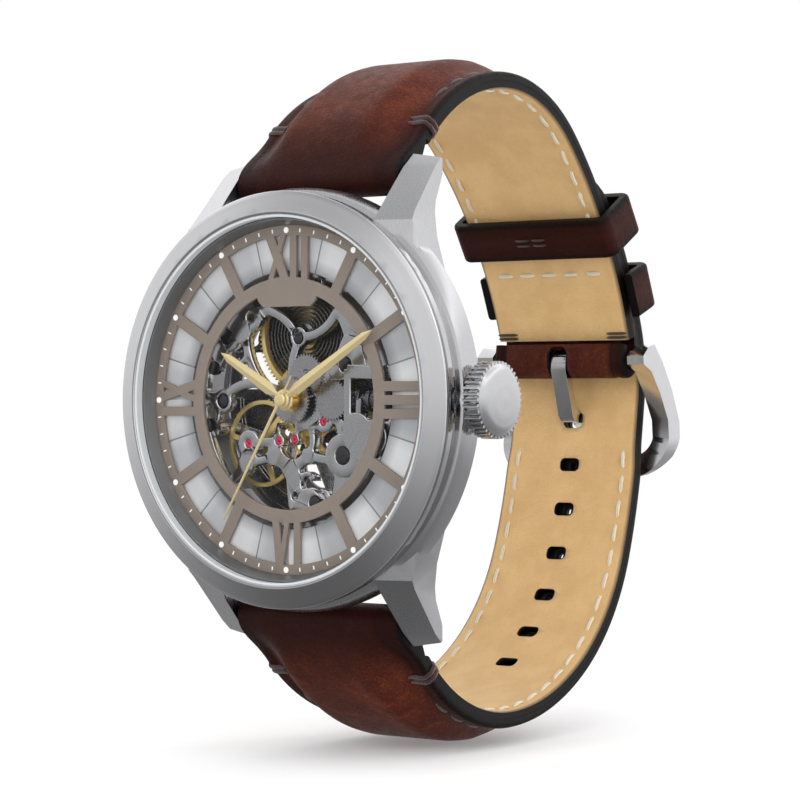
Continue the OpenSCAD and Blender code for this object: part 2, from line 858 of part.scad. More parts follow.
module pallet_cock() color(plate_grey) dial_side() {
    side = [cos(lever_dir + 90), sin(lever_dir + 90)];
    foot = pallet_xy + 2.3 * side;
    bridge_plate([pallet_xy], pallet_cock_z, 0.25, 0.3)
        union() {
            boss2(pallet_xy, 0.6);
            bar2(pallet_xy, foot, 0.9);
            boss2(foot, 0.6);
        }
    translate([foot[0], foot[1], pallet_cock_z + 0.23])
        cylinder(r = 0.5, h = plate_back - pallet_cock_z - 0.23 - gap);
}

module automatic_bridge() color(plate_grey) dial_side() {
    translate([0, 0, auto_z])
        linear_extrude(0.35)
            difference() {
                union() {
                    boss2([0, 0], 2.2);
                    boss2(reversing_xy, 1.1);
                    bar2([0, 0], reversing_xy, 1.8);
                    for (p = auto_feet) {
                        bar2([0, 0], p, 2.2);
                        boss2(p, 1.3);
                    }
                }
                for (p = auto_feet)
                    boss2(p, 0.5);
            }
    translate([0, 0, 1.9])
        cylinder(r = 0.45, h = 1.05);
    translate([reversing_xy[0], reversing_xy[1], 2.5])
        cylinder(r = 0.25, h = 0.45);
}

// ---------- barrel and winding ----------

barrel_phase = mesh_phase(0, 90, leaf10, barrel_teeth);

module barrel_drum() color(brass) dial_side() at(barrel_xy) {
    difference() {
        union() {
            gear(barrel_teeth, barrel_pitch_r, 0.3, drum_z + 0.8, barrel_phase);
            cylinder(r = 5.85, h = 1.2);
            translate([0, 0, drum_z])
                cylinder(r = 5.85, h = 1.2);
        }
        translate([0, 0, -1])
            cylinder(r = 7, h = drum_z + 1);
        translate([0, 0, drum_z + 0.22])
            cylinder(r = 5.5, h = 2);
        translate([0, 0, drum_z - 1])
            cylinder(r = 0.75, h = 2);
    }
}

module barrel_arbor() color(steel) dial_side() at(barrel_xy) {
    disc(0.5, 3.2, 3.4);
    disc(0.7, 1.2, 4.45);
    disc(1.15, 0.8, drum_z + 0.27);
}

module mainspring() color("slategrey") dial_side() at(barrel_xy)
    translate([0, 0, drum_z + 0.27])
        linear_extrude(0.8)
            polygon(spiral_points(1.35, 5.35, 9, 0.12));

intermediate_phase = mesh_phase(winding_dir, winding_dir, crown_wheel_teeth, crown_wheel_teeth);
ratchet_phase = mesh_phase(intermediate_phase, winding_dir, crown_wheel_teeth, ratchet_teeth);

module ratchet_wheel() color(steel) dial_side() at(barrel_xy)
    gear(ratchet_teeth, ratchet_pitch_r, 0.25, winding_z, ratchet_phase, 0.53);

module crown_wheel() color(steel) dial_side() at(crown_wheel_xy)
    gear(crown_wheel_teeth, crown_wheel_pitch_r, 0.2, winding_z, winding_dir, 0.45);

module intermediate_wheel() color(steel) dial_side() at(intermediate_xy)
    gear(crown_wheel_teeth, crown_wheel_pitch_r, 0.2, winding_z, intermediate_phase, 0.45);

module click() color(steel) dial_side() at(click_xy) {
    nose = barrel_xy + 4.84 * [cos(166), sin(166)] - click_xy;
    translate([0, 0, winding_z])
        linear_extrude(0.2)
            difference() {
                union() {
                    circle(r = 0.8);
                    polygon([[-0.5, -0.5], nose + [-0.5, -0.1], nose, nose + [0.1, 0.3], [0.5, 0.5]]);
                    bar2([0, 0.4], [-0.9, 1.7], 0.5);
                }
                circle(r = 0.45);
            }
}

module winding_pinion() color(steel) along_stem()
    difference() {
        union() {
            rod_x(1.2, 1.4, 9.72);
            translate([10.2, 0, 0])
                rotate([0, 90, 0])
                    linear_extrude(0.65)
                        polygon(tooth_points(winding_teeth, 1.68, 0.07));
        }
        rod_x(0.65, 3, 9);
    }

module sliding_pinion() color(steel) along_stem()
    difference() {
        union() {
            rod_x(clutch_r, 0.7, clutch_x + 0.02);
            rod_x(1, 1.6, clutch_x + 0.3);
            rod_x(clutch_r - 0.05, 0.6, clutch_x + 1.4);
        }
        rod_x(0.65, 4, clutch_x - 1);
        for (i = [0:7])
            rotate([45 * i + 22.5, 0, 0])
                translate([clutch_x - 0.5, -0.2, 1])
                    cube([0.75, 0.4, 1]);
    }

module setting_lever() color(steel) dial_side() {
    tip = [lever_pin_x, 0] - lever_xy;
    at(lever_xy) {
        translate([0, 0, motion_z])
            linear_extrude(0.25)
                difference() {
                    union() {
                        circle(r = 0.8);
                        bar2([0, 0], tip, 0.7);
                        translate(tip)
                            circle(r = 0.45);
                        bar2([0, 0], [-2, -0.6], 0.8);
                    }
                    circle(r = 0.4);
                }
        translate([tip[0], tip[1], stem_z + 0.42])
            cylinder(r = 0.25, h = motion_z - stem_z - 0.4);
    }
}

module yoke() color(steel) dial_side() {
    tab = [yoke_tab_x, 0] - yoke_xy;
    at(yoke_xy) {
        translate([0, 0, motion_z + 0.12])
            linear_extrude(0.2)
                difference() {
                    union() {
                        circle(r = 0.8);
                        bar2([0, 0], tab, 0.6);
                        bar2([0, 0], [2.2, -0.9], 0.5);
                    }
                    circle(r = 0.4);
                }
        translate([tab[0], tab[1], stem_z + 1.08])
            cylinder(r = 0.17, h = motion_z + 0.15 - stem_z - 1.08);
    }
}

module keyless_cover() color(plate_grey) dial_side() {
    translate([0, 0, motion_z + 0.38])
        linear_extrude(0.25)
            difference() {
                union() {
                    boss2(yoke_xy, 1.9);
                    boss2(cover_pad, 2.3);
                    boss2(cover_foot, 1.9);
                    bar2(cover_pad, cover_foot, 3);
                    bar2([7.4, -3], [7.4, 3.2], 0.9);
                    boss2(lever_xy, 0.85);
                    bar2([7.4, 3], lever_xy, 1.4);
                }
                boss2(cover_pad, 0.95);
            }
    for (p = [yoke_xy, lever_xy])
        translate([p[0], p[1], plate_z])
            cylinder(r = 0.36, h = 0.5);
}

// ---------- going train ----------

centre_phase = 0;
third_leaf_phase = mesh_phase(centre_phase, third_dir, centre_teeth, leaf10);
fourth_leaf_phase = mesh_phase(0, third_dir + 180, third_teeth, leaf10);
escape_leaf_phase = mesh_phase(0, escape_dir, fourth_teeth, leaf8);

module centre_wheel() color(brass) dial_side() {
    spoked_gear(centre_teeth, centre_pitch_r, 0.15, centre_z, centre_phase, 0.6, 0.95, 4, 0.5, 0.27);
    gear(leaf10, centre_pinion_r, 0.6, 5.2, 0, 0.27);
    disc(0.5, plate_z - 5.3, 5.3, 0.27);
}

module third_wheel() color(brass) dial_side() at(third_xy) {
    spoked_gear(third_teeth, third_pitch_r, 0.13, third_z, 0, 0.5, 0.9, 5, 0.45, 0);
    gear(leaf10, third_dist - centre_pitch_r, 0.4, centre_z - 0.12, third_leaf_phase);
    disc(0.2, centre_z - third_z, third_z + 0.02);
    disc(0.1, 3.4, 3.4);
    disc(0.2, 0.7, third_z - 0.7);
}

module fourth_wheel() color(brass) dial_side() {
    spoked_gear(fourth_teeth, fourth_pitch_r, 0.14, fourth_z, 0, 0.5, 0.9, 5, 0.45, 0);
    gear(leaf10, third_dist - third_pitch_r, 0.45, 4.55, fourth_leaf_phase);
    disc(0.2, 0.4, 4.4);
    disc(0.2, 9.95 - 4.5, 4.5);
    disc(0.12, 1, 3.4);
}

module escape_wheel() color(steel) dial_side() at(escape_xy) {
    gear(leaf8, escape_dist - fourth_pitch_r, 0.5, fourth_z - 0.1, escape_leaf_phase);
    disc(0.1, 3.2, 3.4);
    disc(0.18, 1.3, 4.2);
    translate([0, 0, pallet_z])
        linear_extrude(0.14)
            difference() {
                polygon([for (i = [0:escape_teeth - 1], k = [0:4])
                    let (a = 360 / escape_teeth * (i + [0, 0.32, 0.42, 0.55, 0.6][k]))
                    let (r = [1.5, 1.86, escape_r, 1.84, 1.5][k])
                    r * [cos(a), sin(a)]]);
                difference() {
                    ring2(1.35, 0.45);
                    for (i = [0:3])
                        rotate(90 * i + 20)
                            translate([0, -0.12])
                                square([2, 0.24]);
                }
            }
}

module pallet_fork() color(steel) dial_side() at(pallet_xy)
    rotate(lever_dir) {
        tip = fork_len - roller_r;
        stone = [-pallet_dist + (escape_r + 0.06) * cos(24), (escape_r + 0.06) * sin(24)];
        translate([0, 0, pallet_z])
            linear_extrude(0.14) {
                circle(r = 0.32);
                bar2([0, 0], [tip - 0.35, 0], 0.24);
                for (s = [-1, 1]) {
                    bar2([0, 0], [stone[0], s * stone[1]], 0.24);
                    bar2([tip - 0.35, 0], [tip - 0.3, s * 0.28], 0.22);
                    bar2([tip - 0.35, s * 0.24], [tip + 0.12, s * 0.22], 0.2);
                }
            }
        disc(0.09, 6.5 - 5, 5);
    }

module balance_wheel() color(brass) dial_side() at(balance_xy) {
    translate([0, 0, balance_z])
        linear_extrude(0.3) {
            ring2(balance_r, balance_r - 0.45);
            circle(r = 0.7);
            for (i = [0:2])
                rotate(120 * i + 50)
                    translate([0.4, -0.27])
                        square([balance_r - 0.6, 0.54]);
        }
    disc(0.22, 1.5, 3.95);
    disc(0.09, 3.15, 3.4);
    disc(0.62, 0.1, 5.15);
    rotate(lever_dir + 180)
        translate([roller_r, 0, 5.2])
            cylinder(r = 0.08, h = 0.4);
    for (i = [0:5])
        rotate(60 * i + 20)
            translate([balance_r - 0.05, 0, balance_z + 0.15])
                rod_x(0.11, 0.2);
}

module hairspring() color("steelblue") dial_side() at(balance_xy)
    translate([0, 0, 4.02])
        linear_extrude(0.14)
            rotate(40)
                polygon(spiral_points(0.4, 2.05, 6, 0.05));

// ---------- motion work ----------

minute_phase = mesh_phase(0, minute_dir, cannon_teeth, minute_teeth);
hour_phase = mesh_phase(0, minute_dir + 180, leaf10, hour_teeth);
setting_dir = atan2(setting_xy[1] - minute_xy[1], setting_xy[0] - minute_xy[0]);
setting_phase = mesh_phase(minute_phase, setting_dir, minute_teeth, setting_teeth);

module cannon_pinion() color(steel) dial_side() {
    gear(cannon_teeth, cannon_pitch_r, 0.45, motion_z, 0, 0.27);
    disc(0.46, 9.7 - motion_z, motion_z, 0.27);
}

module minute_wheel() color(brass) dial_side() at(minute_xy) {
    gear(minute_teeth, minute_pitch_r, 0.2, motion_z, minute_phase);
    gear(leaf10, motion_dist - hour_pitch_r, 0.65, motion_z + 0.19, 0);
    disc(0.25, 0.5, plate_z - 0.45);
}

module hour_wheel() color(brass) dial_side() {
    gear(hour_teeth, hour_pitch_r, 0.22, hour_wheel_z, hour_phase, 0.51);
    disc(0.7, 9.25 - hour_wheel_z, hour_wheel_z, 0.51);
}

module setting_wheel() color(steel) dial_side() at(setting_xy) {
    gear(setting_teeth, setting_pitch_r, 0.2, motion_z, setting_phase);
    disc(0.25, 0.5, plate_z - 0.45);
}

// ---------- automatic winding ----------

module reversing_wheel() color(steel) dial_side() at(reversing_xy)
    gear(reversing_teeth, reversing_pitch_r, 0.2, gear_z,
        mesh_phase(0, reversing_dir, rotor_teeth, reversing_teeth), 0.3);

module rotor() color(plate_grey) dial_side() {
    gear(rotor_teeth, rotor_pitch_r, 0.2, gear_z, 0, 0.5);
    disc(1.3, 0.8, 2, 0.5);
    translate([0, 0, rotor_z])
        linear_extrude(0.25)
            difference() {
                intersection() {
                    circle(r = rotor_r, $fn = fine);
                    translate([-13, -13])
                        square([26, 14.2]);
                }
                circle(r = 0.5);
                for (i = [0:2])
                    rotate(-90 + 52 * (i - 1))
                        translate([7, 0])
                            circle(r = 2.4);
            }
    translate([0, 0, 1.75])
        linear_extrude(1.2)
            intersection() {
                ring2(rotor_r, weight_in_r, $fn = fine);
                translate([-13, -13])
                    square([26, 13.2]);
            }
}

// ---------- jewels and screws ----------

module jewels() color("crimson") dial_side() {
    for (j = plate_jewels)
        at(j[0])
            disc(jewel_r - 0.02, 0.5, plate_z - 0.6, j[1] + 0.03);
    for (p = [third_xy, escape_xy, balance_xy])
        at(p)
            disc(jewel_r - 0.02, 0.35, bridge_z + 0.1, 0.13);
    disc(jewel_r - 0.02, 0.35, bridge_z + 0.1, 0.15);
}

module movement_screws() color("dimgrey") dial_side() {
    for (p = plate_screws)
        at(p)
            difference() {
                disc(p[2], 0.6, plate_z - 0.53);
                translate([-1, -0.1, plate_z - 0.1])
                    rotate(p[0] * 40)
                        cube([2, 0.2, 1]);
            }
    for (p = auto_feet)
        at(p)
            disc(0.45, 0.3, auto_z - 0.05);
    at(cover_pad)
        difference() {
            disc(0.9, 0.5, motion_z + 0.2);
            translate([-1, -0.12, motion_z + 0.5])
                cube([2, 0.24, 1]);
        }
}

// ---------- strap ----------

// Everything inside the strap's width, which narrows from the case to a far point
module within_taper() {
    far = 50;
    half_far = strap_half - strap_taper * far;
    intersection() {
        children();
        translate([0, 0, -60])
            linear_extrude(120)
                polygon([[-strap_half, -8], [strap_half, -8], [strap_half, 0], [half_far, far],
                    [-half_far, far], [-strap_half, 0]]);
    }
}

// Loop of leather round a spring bar, joined to the start of the strap
module lug_end() {
    p = lug_start;
    n = [-sin(lug_heading), cos(lug_heading)];
    difference() {
        union() {
            translate(spring_bar_yz)
                circle(r = loop_r);
            polygon([p + (lining_t + 0.02) * n, p + strap_pad * n, spring_bar_yz + [-1.9, 0.5],
                spring_bar_yz + [1.3, -1.3]]);
        }
        translate(spring_bar_yz)
            circle(r = 0.8);
    }
}

// The outer leather over a chain of arcs: padded at the lug, falling to the thin part over two arcs
module leather_band(arcs) {
    first = trace(lug_start, lug_heading, [arcs[0]]);
    turn = lug_heading - arcs[0][1];
    second = trace(first[len(first) - 1][0], turn, [arcs[1]]);
    third = trace(second[len(second) - 1][0], turn - arcs[1][1], [for (i = [2:len(arcs) - 1]) arcs[i]]);
    inner = lining_t + 0.02;
    polygon(band_points(first, inner, strap_pad, strap_mid));
    polygon(band_points(second, inner, strap_mid, strap_thin));
    polygon(band_points(third, inner, strap_thin, strap_thin));
}

module strap_upper() color(leather) {
    within_taper()
        across(full_w) {
            lug_end();
            leather_band(upper_arcs);
        }
    difference() {
        across(18.4)
            difference() {
                union() {
                    translate(buckle_bar_yz)
                        circle(r = loop_r);
                    translate(buckle_bar_yz + [0.45, 0])
                        square([1.05, 3.4]);
                }
                translate(buckle_bar_yz)
                    circle(r = buckle_bar_r + gap);
            }
        translate([-slot_w / 2, 40, 2])
            cube([slot_w, 10, 4.7]);
    }
}

module lining_upper() color(tan)
    within_taper()
        across(full_w)
            polygon(band_points(upper_path, 0, lining_t, lining_t));

hole_pitch = 5.5;
first_hole = 3.1;

// Six adjusting holes and the one the tongue passes, cut through the tail strap
module strap_holes() {
    for (i = [0:5]) {
        h = hole_at(first_hole + hole_pitch * i);
        translate([0, h[0][0], -h[0][1]])
            rotate([h[1], 0, 0])
                cube([slot_w, 8, 1.6], center = true);
    }
    translate([0, 46, -2.15])
        rotate([-8, 0, 0])
            cube([slot_w, 8, 2], center = true);
}

// Point and tilt at a distance s back from the last stretch's end, for the hole row
function hole_at(s, i = len(lower_arcs) - 1) =
    let (r = lower_arcs[i][0], sweep = lower_arcs[i][1], run = r * sweep * PI / 180)
    s < run ? place_on(lower_arcs, i, sweep - s / r * 180 / PI) : hole_at(s - run, i - 1);

function place_on(arcs, i, turned) =
    let (before = [for (k = [0:i - 1]) arcs[k]])
    let (p = trace_end(lug_start, lug_heading, before), h = lug_heading - total_sweep(before))
    let (c = p + arcs[i][0] * [sin(h), -cos(h)], a = h - turned)
    [c + arcs[i][0] * [-sin(a), cos(a)], a + 90];

module strap_lower() color(leather)
    difference() {
        union() {
            mirror([0, 0, 1])
                within_taper()
                    across(full_w) {
                        lug_end();
                        leather_band(lower_arcs);
                    }
            mirror([0, 0, 1])
                across(tail_w)
                    polygon(band_points(tail_path, lining_t + 0.02, strap_thin, strap_thin));
        }
        strap_holes();
    }

module lining_lower() color(tan)
    difference() {
        union() {
            mirror([0, 0, 1])
                within_taper()
                    across(full_w)
                        polygon(band_points(lower_path, 0, lining_t, lining_t));
            mirror([0, 0, 1])
                across(tail_w)
                    polygon(band_points(tail_path, 0, lining_t, lining_t));
        }
        strap_holes();
    }

// Places a keeper on the strap: local Y points out of the wrist loop, local Z along the strap
module on_strap(dir) {
    translate([0, upper_centre[0], upper_centre[1]])
        rotate([dir, 0, 0])
            translate([0, upper_r, 0])
                children();
}

module keeper_sliding() color(leather)
    on_strap(sliding_keeper_dir)
        difference() {
            translate([-11.05, -1.6, -2.5])
                cube([22.1, 7.4, 5]);
            translate([-keeper_w / 2, -0.5, -3])
                cube([keeper_w, 5.2, 6]);
        }

module keeper_fixed() color(leather)
    on_strap(fixed_keeper_dir)
        difference() {
            translate([-10.95, 0.2, -2.75])
                cube([21.9, 5.4, 5.5]);
            translate([-keeper_w / 2, -0.5, -3])
                cube([keeper_w, 5, 6]);
        }

// ---------- buckle ----------

module buckle_bar() color(steel)
    translate([0, buckle_bar_yz[0], buckle_bar_yz[1]])
        rod_x(buckle_bar_r, 2 * buckle_half - 1.6, 0.8 - buckle_half);

// Side outline of the frame: down the outside from the bar, round the foot and back
frame_side = [
    [44.3, 6.3], [45.6, 6.6], [47.4, 4.6], [49.6, 1.2], [51.3, -2.6], [51.4, -4.6], [50.6, -6.8],
    [48.8, -9], [48, -9.2], [47.75, -8.2], [48.3, -6.6], [48.9, -4.6], [48.7, -2.4], [46.9, 0.8],
    [44.9, 3.4], [43.2, 4.2], [43.1, 5.2]
];

module buckle_frame() color(steel)
    difference() {
        across(2 * buckle_half)
            polygon(frame_side);
        translate([0, 60, 0])
            rotate([90, 0, 0])
                linear_extrude(40) {
                    translate([2.3 - buckle_half, -4.4])
                        square([2 * buckle_half - 4.6, 14]);
                    translate([4.6 - buckle_half, -6.4])
                        square([2 * buckle_half - 9.2, 3]);
                    for (s = [-1, 1])
                        translate([s * (buckle_half - 4.6), -4.4])
                            circle(r = 2.3);
                    for (s = [-1, 1])
                        difference() {
                            translate([s * (buckle_half - 2.1) - 2.6, -10.6])
                                square([5.2, 6]);
                            translate([s * (buckle_half - 4.7), -4.6])
                                circle(r = 4.7);
                            translate([s * (buckle_half - 7.1) - 2.4, -11])
                                square([4.8, 12]);
                        }
                }
        translate([0, buckle_bar_yz[0], buckle_bar_yz[1]])
            rod_x(buckle_bar_r + 0.03, 2 * buckle_half - 1.4, 0.7 - buckle_half);
    }

// Tongue outline from its loop on the bar, through the strap, to its tip on the frame's foot
tongue_side = [
    [43.1, 5.2], [42.95, 3.6], [43.9, 0.6], [44.65, -2], [45.3, -2.7], [47.9, -2.9], [49.9, -4.4],
    [51.3, -7], [51.4, -9.6], [52.3, -9.6], [52.35, -6.6], [50.7, -3.4], [48.3, -1.7], [46.1, -1.5],
    [45.5, -1.1], [44.9, 0.8], [44.4, 3.4]
];

module buckle_tongue() color(steel)
    across(2.1)
        difference() {
            union() {
                translate(buckle_bar_yz)
                    circle(r = 1.6);
                polygon(tongue_side);
            }
            translate(buckle_bar_yz)
                circle(r = buckle_bar_r + gap);
        }

case_middle();
bezel();
crystal();
crystal_gasket();
flange_ring();
dial();
holder_ring();
case_back();
back_crystal();
back_gasket();
crown();
crown_gasket();
crown_tube();
winding_stem();
spring_bars();
hour_hand();
minute_hand();
second_hand();
main_plate();
train_bridge();
barrel_bridge();
balance_cock();
barrel_drum();
barrel_arbor();
mainspring();
ratchet_wheel();
crown_wheel();
intermediate_wheel();
click();
centre_wheel();
third_wheel();
fourth_wheel();
escape_wheel();
pallet_fork();
pallet_cock();
balance_wheel();
hairspring();
cannon_pinion();
minute_wheel();
hour_wheel();
setting_wheel();
sliding_pinion();
winding_pinion();
setting_lever();
yoke();
keyless_cover();
automatic_bridge();
reversing_wheel();
rotor();
jewels();
movement_screws();
strap_upper();
lining_upper();
strap_lower();
lining_lower();
keeper_fixed();
keeper_sliding();
buckle_bar();
buckle_frame();
buckle_tongue();
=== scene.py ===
"""Looks of the skeleton wristwatch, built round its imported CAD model. Lengths in the code are millimetres."""

import math

import bmesh
import bpy
from mathutils import Euler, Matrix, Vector


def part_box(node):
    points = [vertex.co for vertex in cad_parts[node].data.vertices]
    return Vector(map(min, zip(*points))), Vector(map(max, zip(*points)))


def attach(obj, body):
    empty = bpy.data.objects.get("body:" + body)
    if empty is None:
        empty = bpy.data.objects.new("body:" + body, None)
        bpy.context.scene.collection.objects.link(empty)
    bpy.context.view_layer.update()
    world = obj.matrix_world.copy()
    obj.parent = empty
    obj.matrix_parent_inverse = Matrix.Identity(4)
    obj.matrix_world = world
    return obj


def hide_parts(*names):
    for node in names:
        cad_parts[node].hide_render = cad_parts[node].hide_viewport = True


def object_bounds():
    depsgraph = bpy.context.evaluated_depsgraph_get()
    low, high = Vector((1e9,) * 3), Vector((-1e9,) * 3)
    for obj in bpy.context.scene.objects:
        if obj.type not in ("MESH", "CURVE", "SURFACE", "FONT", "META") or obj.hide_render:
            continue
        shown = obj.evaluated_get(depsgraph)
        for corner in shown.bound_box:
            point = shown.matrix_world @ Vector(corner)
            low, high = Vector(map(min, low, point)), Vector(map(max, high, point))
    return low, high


MM = 0.001
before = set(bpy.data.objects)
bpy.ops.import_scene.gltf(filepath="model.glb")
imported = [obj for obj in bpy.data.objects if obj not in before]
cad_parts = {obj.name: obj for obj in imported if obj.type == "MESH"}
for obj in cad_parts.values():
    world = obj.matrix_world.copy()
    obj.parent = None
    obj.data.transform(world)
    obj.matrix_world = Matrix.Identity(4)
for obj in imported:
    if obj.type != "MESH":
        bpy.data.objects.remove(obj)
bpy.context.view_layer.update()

# ---------- frame sizes


def node_box(name):
    """Lowest and highest corner of a CAD node, in millimetres."""
    low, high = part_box(name)
    return low / MM, high / MM


def node_middle(name):
    low, high = node_box(name)
    return (low + high) / 2


# ---------- material graphs


class Graph:
    """A node tree written with short calls."""

    def __init__(self, tree):
        self.tree = tree
        tree.nodes.clear()

    def add(self, kind, settings=None, **sockets):
        node = self.tree.nodes.new(kind)
        for key, value in (settings or {}).items():
            setattr(node, key, value)
        for key, value in sockets.items():
            self.put(node.inputs[key.replace("_", " ")], value)
        return node

    def put(self, socket, value):
        if isinstance(value, bpy.types.NodeSocket):
            self.tree.links.new(value, socket)
        elif isinstance(value, bpy.types.Node):
            self.tree.links.new(value.outputs[0], socket)
        else:
            socket.default_value = value

    def noise(self, vector, scale, detail=3.0, rough=0.55, distortion=0.0):
        sockets = {"Vector": vector, "Scale": scale, "Detail": detail, "Roughness": rough}
        return self.add("ShaderNodeTexNoise", Distortion=distortion, **sockets).outputs[0]

    def cells(self, vector, scale):
        """Distance to the nearest edge between scattered cells."""
        feature = {"feature": "DISTANCE_TO_EDGE"}
        return self.add("ShaderNodeTexVoronoi", feature, Vector=vector, Scale=scale).outputs[0]

    def math(self, operation, a, b=0.0):
        node = self.add("ShaderNodeMath", {"operation": operation})
        self.put(node.inputs[0], a)
        self.put(node.inputs[1], b)
        return node.outputs[0]

    def span(self, value, low, high, to_low=0.0, to_high=1.0, smooth=False):
        """Maps low..high to to_low..to_high, clamped."""
        kind = "SMOOTHSTEP" if smooth else "LINEAR"
        node = self.add("ShaderNodeMapRange", {"interpolation_type": kind})
        for socket, number in zip(node.inputs[:5], (value, low, high, to_low, to_high)):
            self.put(socket, number)
        return node.outputs[0]

    def mix(self, share, a, b, mode="MIX"):
        node = self.add("ShaderNodeMix", {"data_type": "RGBA", "blend_type": mode})
        self.put(node.inputs[0], share)
        self.put(node.inputs[6], a)
        self.put(node.inputs[7], b)
        return node.outputs[2]

    def blend(self, share, a, b):
        """A mix of two shaders."""
        node = self.add("ShaderNodeMixShader", Fac=share)
        self.put(node.inputs[1], a)
        self.put(node.inputs[2], b)
        return node


class Surface(Graph):
    """A material's node tree. Numbers in its coordinates are millimetres."""

    def __init__(self, name, **principled):
        self.material = bpy.data.materials.new(name)
        self.material.use_nodes = True
        super().__init__(self.material.node_tree)
        self.output = self.add("ShaderNodeOutputMaterial")
        self.bsdf = self.add("ShaderNodeBsdfPrincipled", **principled)
        self.show(self.bsdf)
        self.place = self.add("ShaderNodeVectorMath", {"operation": "SCALE"}, Scale=1 / MM)
        self.put(self.place.inputs[0], self.add("ShaderNodeTexCoord").outputs["Object"])

    def show(self, shader):
        self.put(self.output.inputs[0], shader)

    def scaled(self, x, y, z):
        """The place, stretched by a factor along each axis."""
        node = self.add("ShaderNodeVectorMath", {"operation": "MULTIPLY"})
        self.put(node.inputs[0], self.place)
        self.put(node.inputs[1], (x, y, z))
        return node

    def attribute(self, name):
        return self.add("ShaderNodeAttribute", {"attribute_name": name}).outputs["Fac"]

    def bump(self, height, distance):
        return self.add("ShaderNodeBump", Height=height, Distance=distance * MM, Strength=1.0).outputs[0]

    def set(self, **sockets):
        for key, value in sockets.items():
            self.put(self.bsdf.inputs[key.replace("_", " ")], value)

    def split_place(self):
        return self.add("ShaderNodeSeparateXYZ", Vector=self.place).outputs

    def polar(self):
        """Angle in radians and radius round the watch's own axis."""
        x, _, z = self.split_place()
        square = self.math("ADD", self.math("MULTIPLY", x, x), self.math("MULTIPLY", z, z))
        return self.math("ARCTAN2", z, x), self.math("SQRT", square)

    def ring_grain(self, density):
        """Noise drawn out along circles round the watch's own axis."""
        angle, radius = self.polar()
        along = self.math("MULTIPLY", angle, 0.9)
        node = self.add("ShaderNodeCombineXYZ", X=along, Y=self.math("MULTIPLY", radius, density))
        return self.noise(node, 1.0, 4.0, 0.6)


def rgb(red, green, blue):
    """A colour from 0..255 display values."""
    return tuple((c / 255) ** 2.2 for c in (red, green, blue)) + (1.0,)


def darker(colour):
    return tuple(c * 0.8 for c in colour[:3]) + (1.0,)


def metal(name, colour, rough, grain=(3.0, 3.0, 3.0), streak=0.06, dent=0.002, metallic=1.0):
    """Metal with fine grain: roughness streaks, a hair of bump and faint broad tarnish."""
    g = Surface(name, Metallic=metallic)
    lines = g.noise(g.scaled(*grain), 1.0, 5.0, 0.65)
    broad = g.noise(g.place, 0.35, 3.0)
    tone = g.mix(g.span(broad, 0.3, 0.7, 0.0, 0.16), colour, darker(colour))
    g.set(Base_Color=g.mix(g.span(lines, 0.35, 0.65, 0.0, 0.12), tone, (0.8, 0.8, 0.8, 1), "MULTIPLY"))
    g.set(Roughness=g.span(lines, 0.3, 0.7, rough - streak, rough + streak))
    g.set(Normal=g.bump(lines, dent))
    return g


STEEL = (0.60, 0.60, 0.61, 1)
RHODIUM = (0.62, 0.63, 0.65, 1)


def case_steel():
    """Polished flank, with the lugs brushed lengthways."""
    g = Surface("case_steel", Metallic=1.0)
    _, _, z = g.split_place()
    lug = g.span(g.math("ABSOLUTE", z), 17.0, 18.0)
    lines = g.noise(g.scaled(8.0, 8.0, 0.12), 1.0, 4.0, 0.7)
    mottle = g.noise(g.place, 1.6, 4.0)
    satin = g.span(lines, 0.3, 0.7, 0.2, 0.36)
    polish = g.span(mottle, 0.3, 0.7, 0.12, 0.15)
    g.set(Base_Color=g.mix(g.span(lines, 0.35, 0.7, 0.0, 0.3), STEEL, (0.47, 0.47, 0.48, 1)))
    blend = g.add("ShaderNodeMix", {"data_type": "FLOAT"})
    g.put(blend.inputs[0], lug)
    g.put(blend.inputs[2], polish)
    g.put(blend.inputs[3], satin)
    g.set(Roughness=blend.outputs[0])
    g.set(Normal=g.bump(g.math("MULTIPLY", lines, lug), 0.008))
    return g.material


def ring_steel(name, rough, density, dent, colour=STEEL, spread=0.06):
    """Steel brushed in circles round the watch's axis."""
    g = Surface(name, Metallic=1.0)
    lines = g.ring_grain(density)
    g.set(Base_Color=g.mix(g.span(lines, 0.3, 0.7, 0.0, 0.12), colour, darker(colour)))
    g.set(Roughness=g.span(lines, 0.3, 0.7, rough - spread, rough + spread))
    g.set(Normal=g.bump(lines, dent))
    return g.material


def plain_metal(*args, **options):
    return metal(*args, **options).material


def gilt_centre():
    """Steel wheel on a gilt pipe."""
    g = metal("gilt_centre", (0.5, 0.5, 0.52, 1), 0.26, (6.0, 6.0, 6.0), 0.08, 0.004)
    _, radius = g.polar()
    steel = g.bsdf.inputs["Base Color"].links[0].from_socket
    g.set(Base_Color=g.mix(g.span(radius, 1.2, 1.25), (0.9, 0.68, 0.28, 1), steel))
    return g.material


def dial_lacquer():
    g = Surface("dial_lacquer", Metallic=0.35, Roughness=0.5)
    grain = g.noise(g.place, 14.0, 4.0, 0.7)
    _, radius = g.polar()
    shade = g.span(radius, 11.0, 18.5, 0.0, 0.35)
    base = g.mix(g.span(grain, 0.3, 0.7), rgb(134, 122, 112), rgb(152, 140, 130))
    g.set(Base_Color=g.mix(shade, base, rgb(128, 117, 108)))
    g.set(Roughness=g.span(grain, 0.3, 0.7, 0.42, 0.58))
    g.set(Normal=g.bump(grain, 0.006))
    return g.material


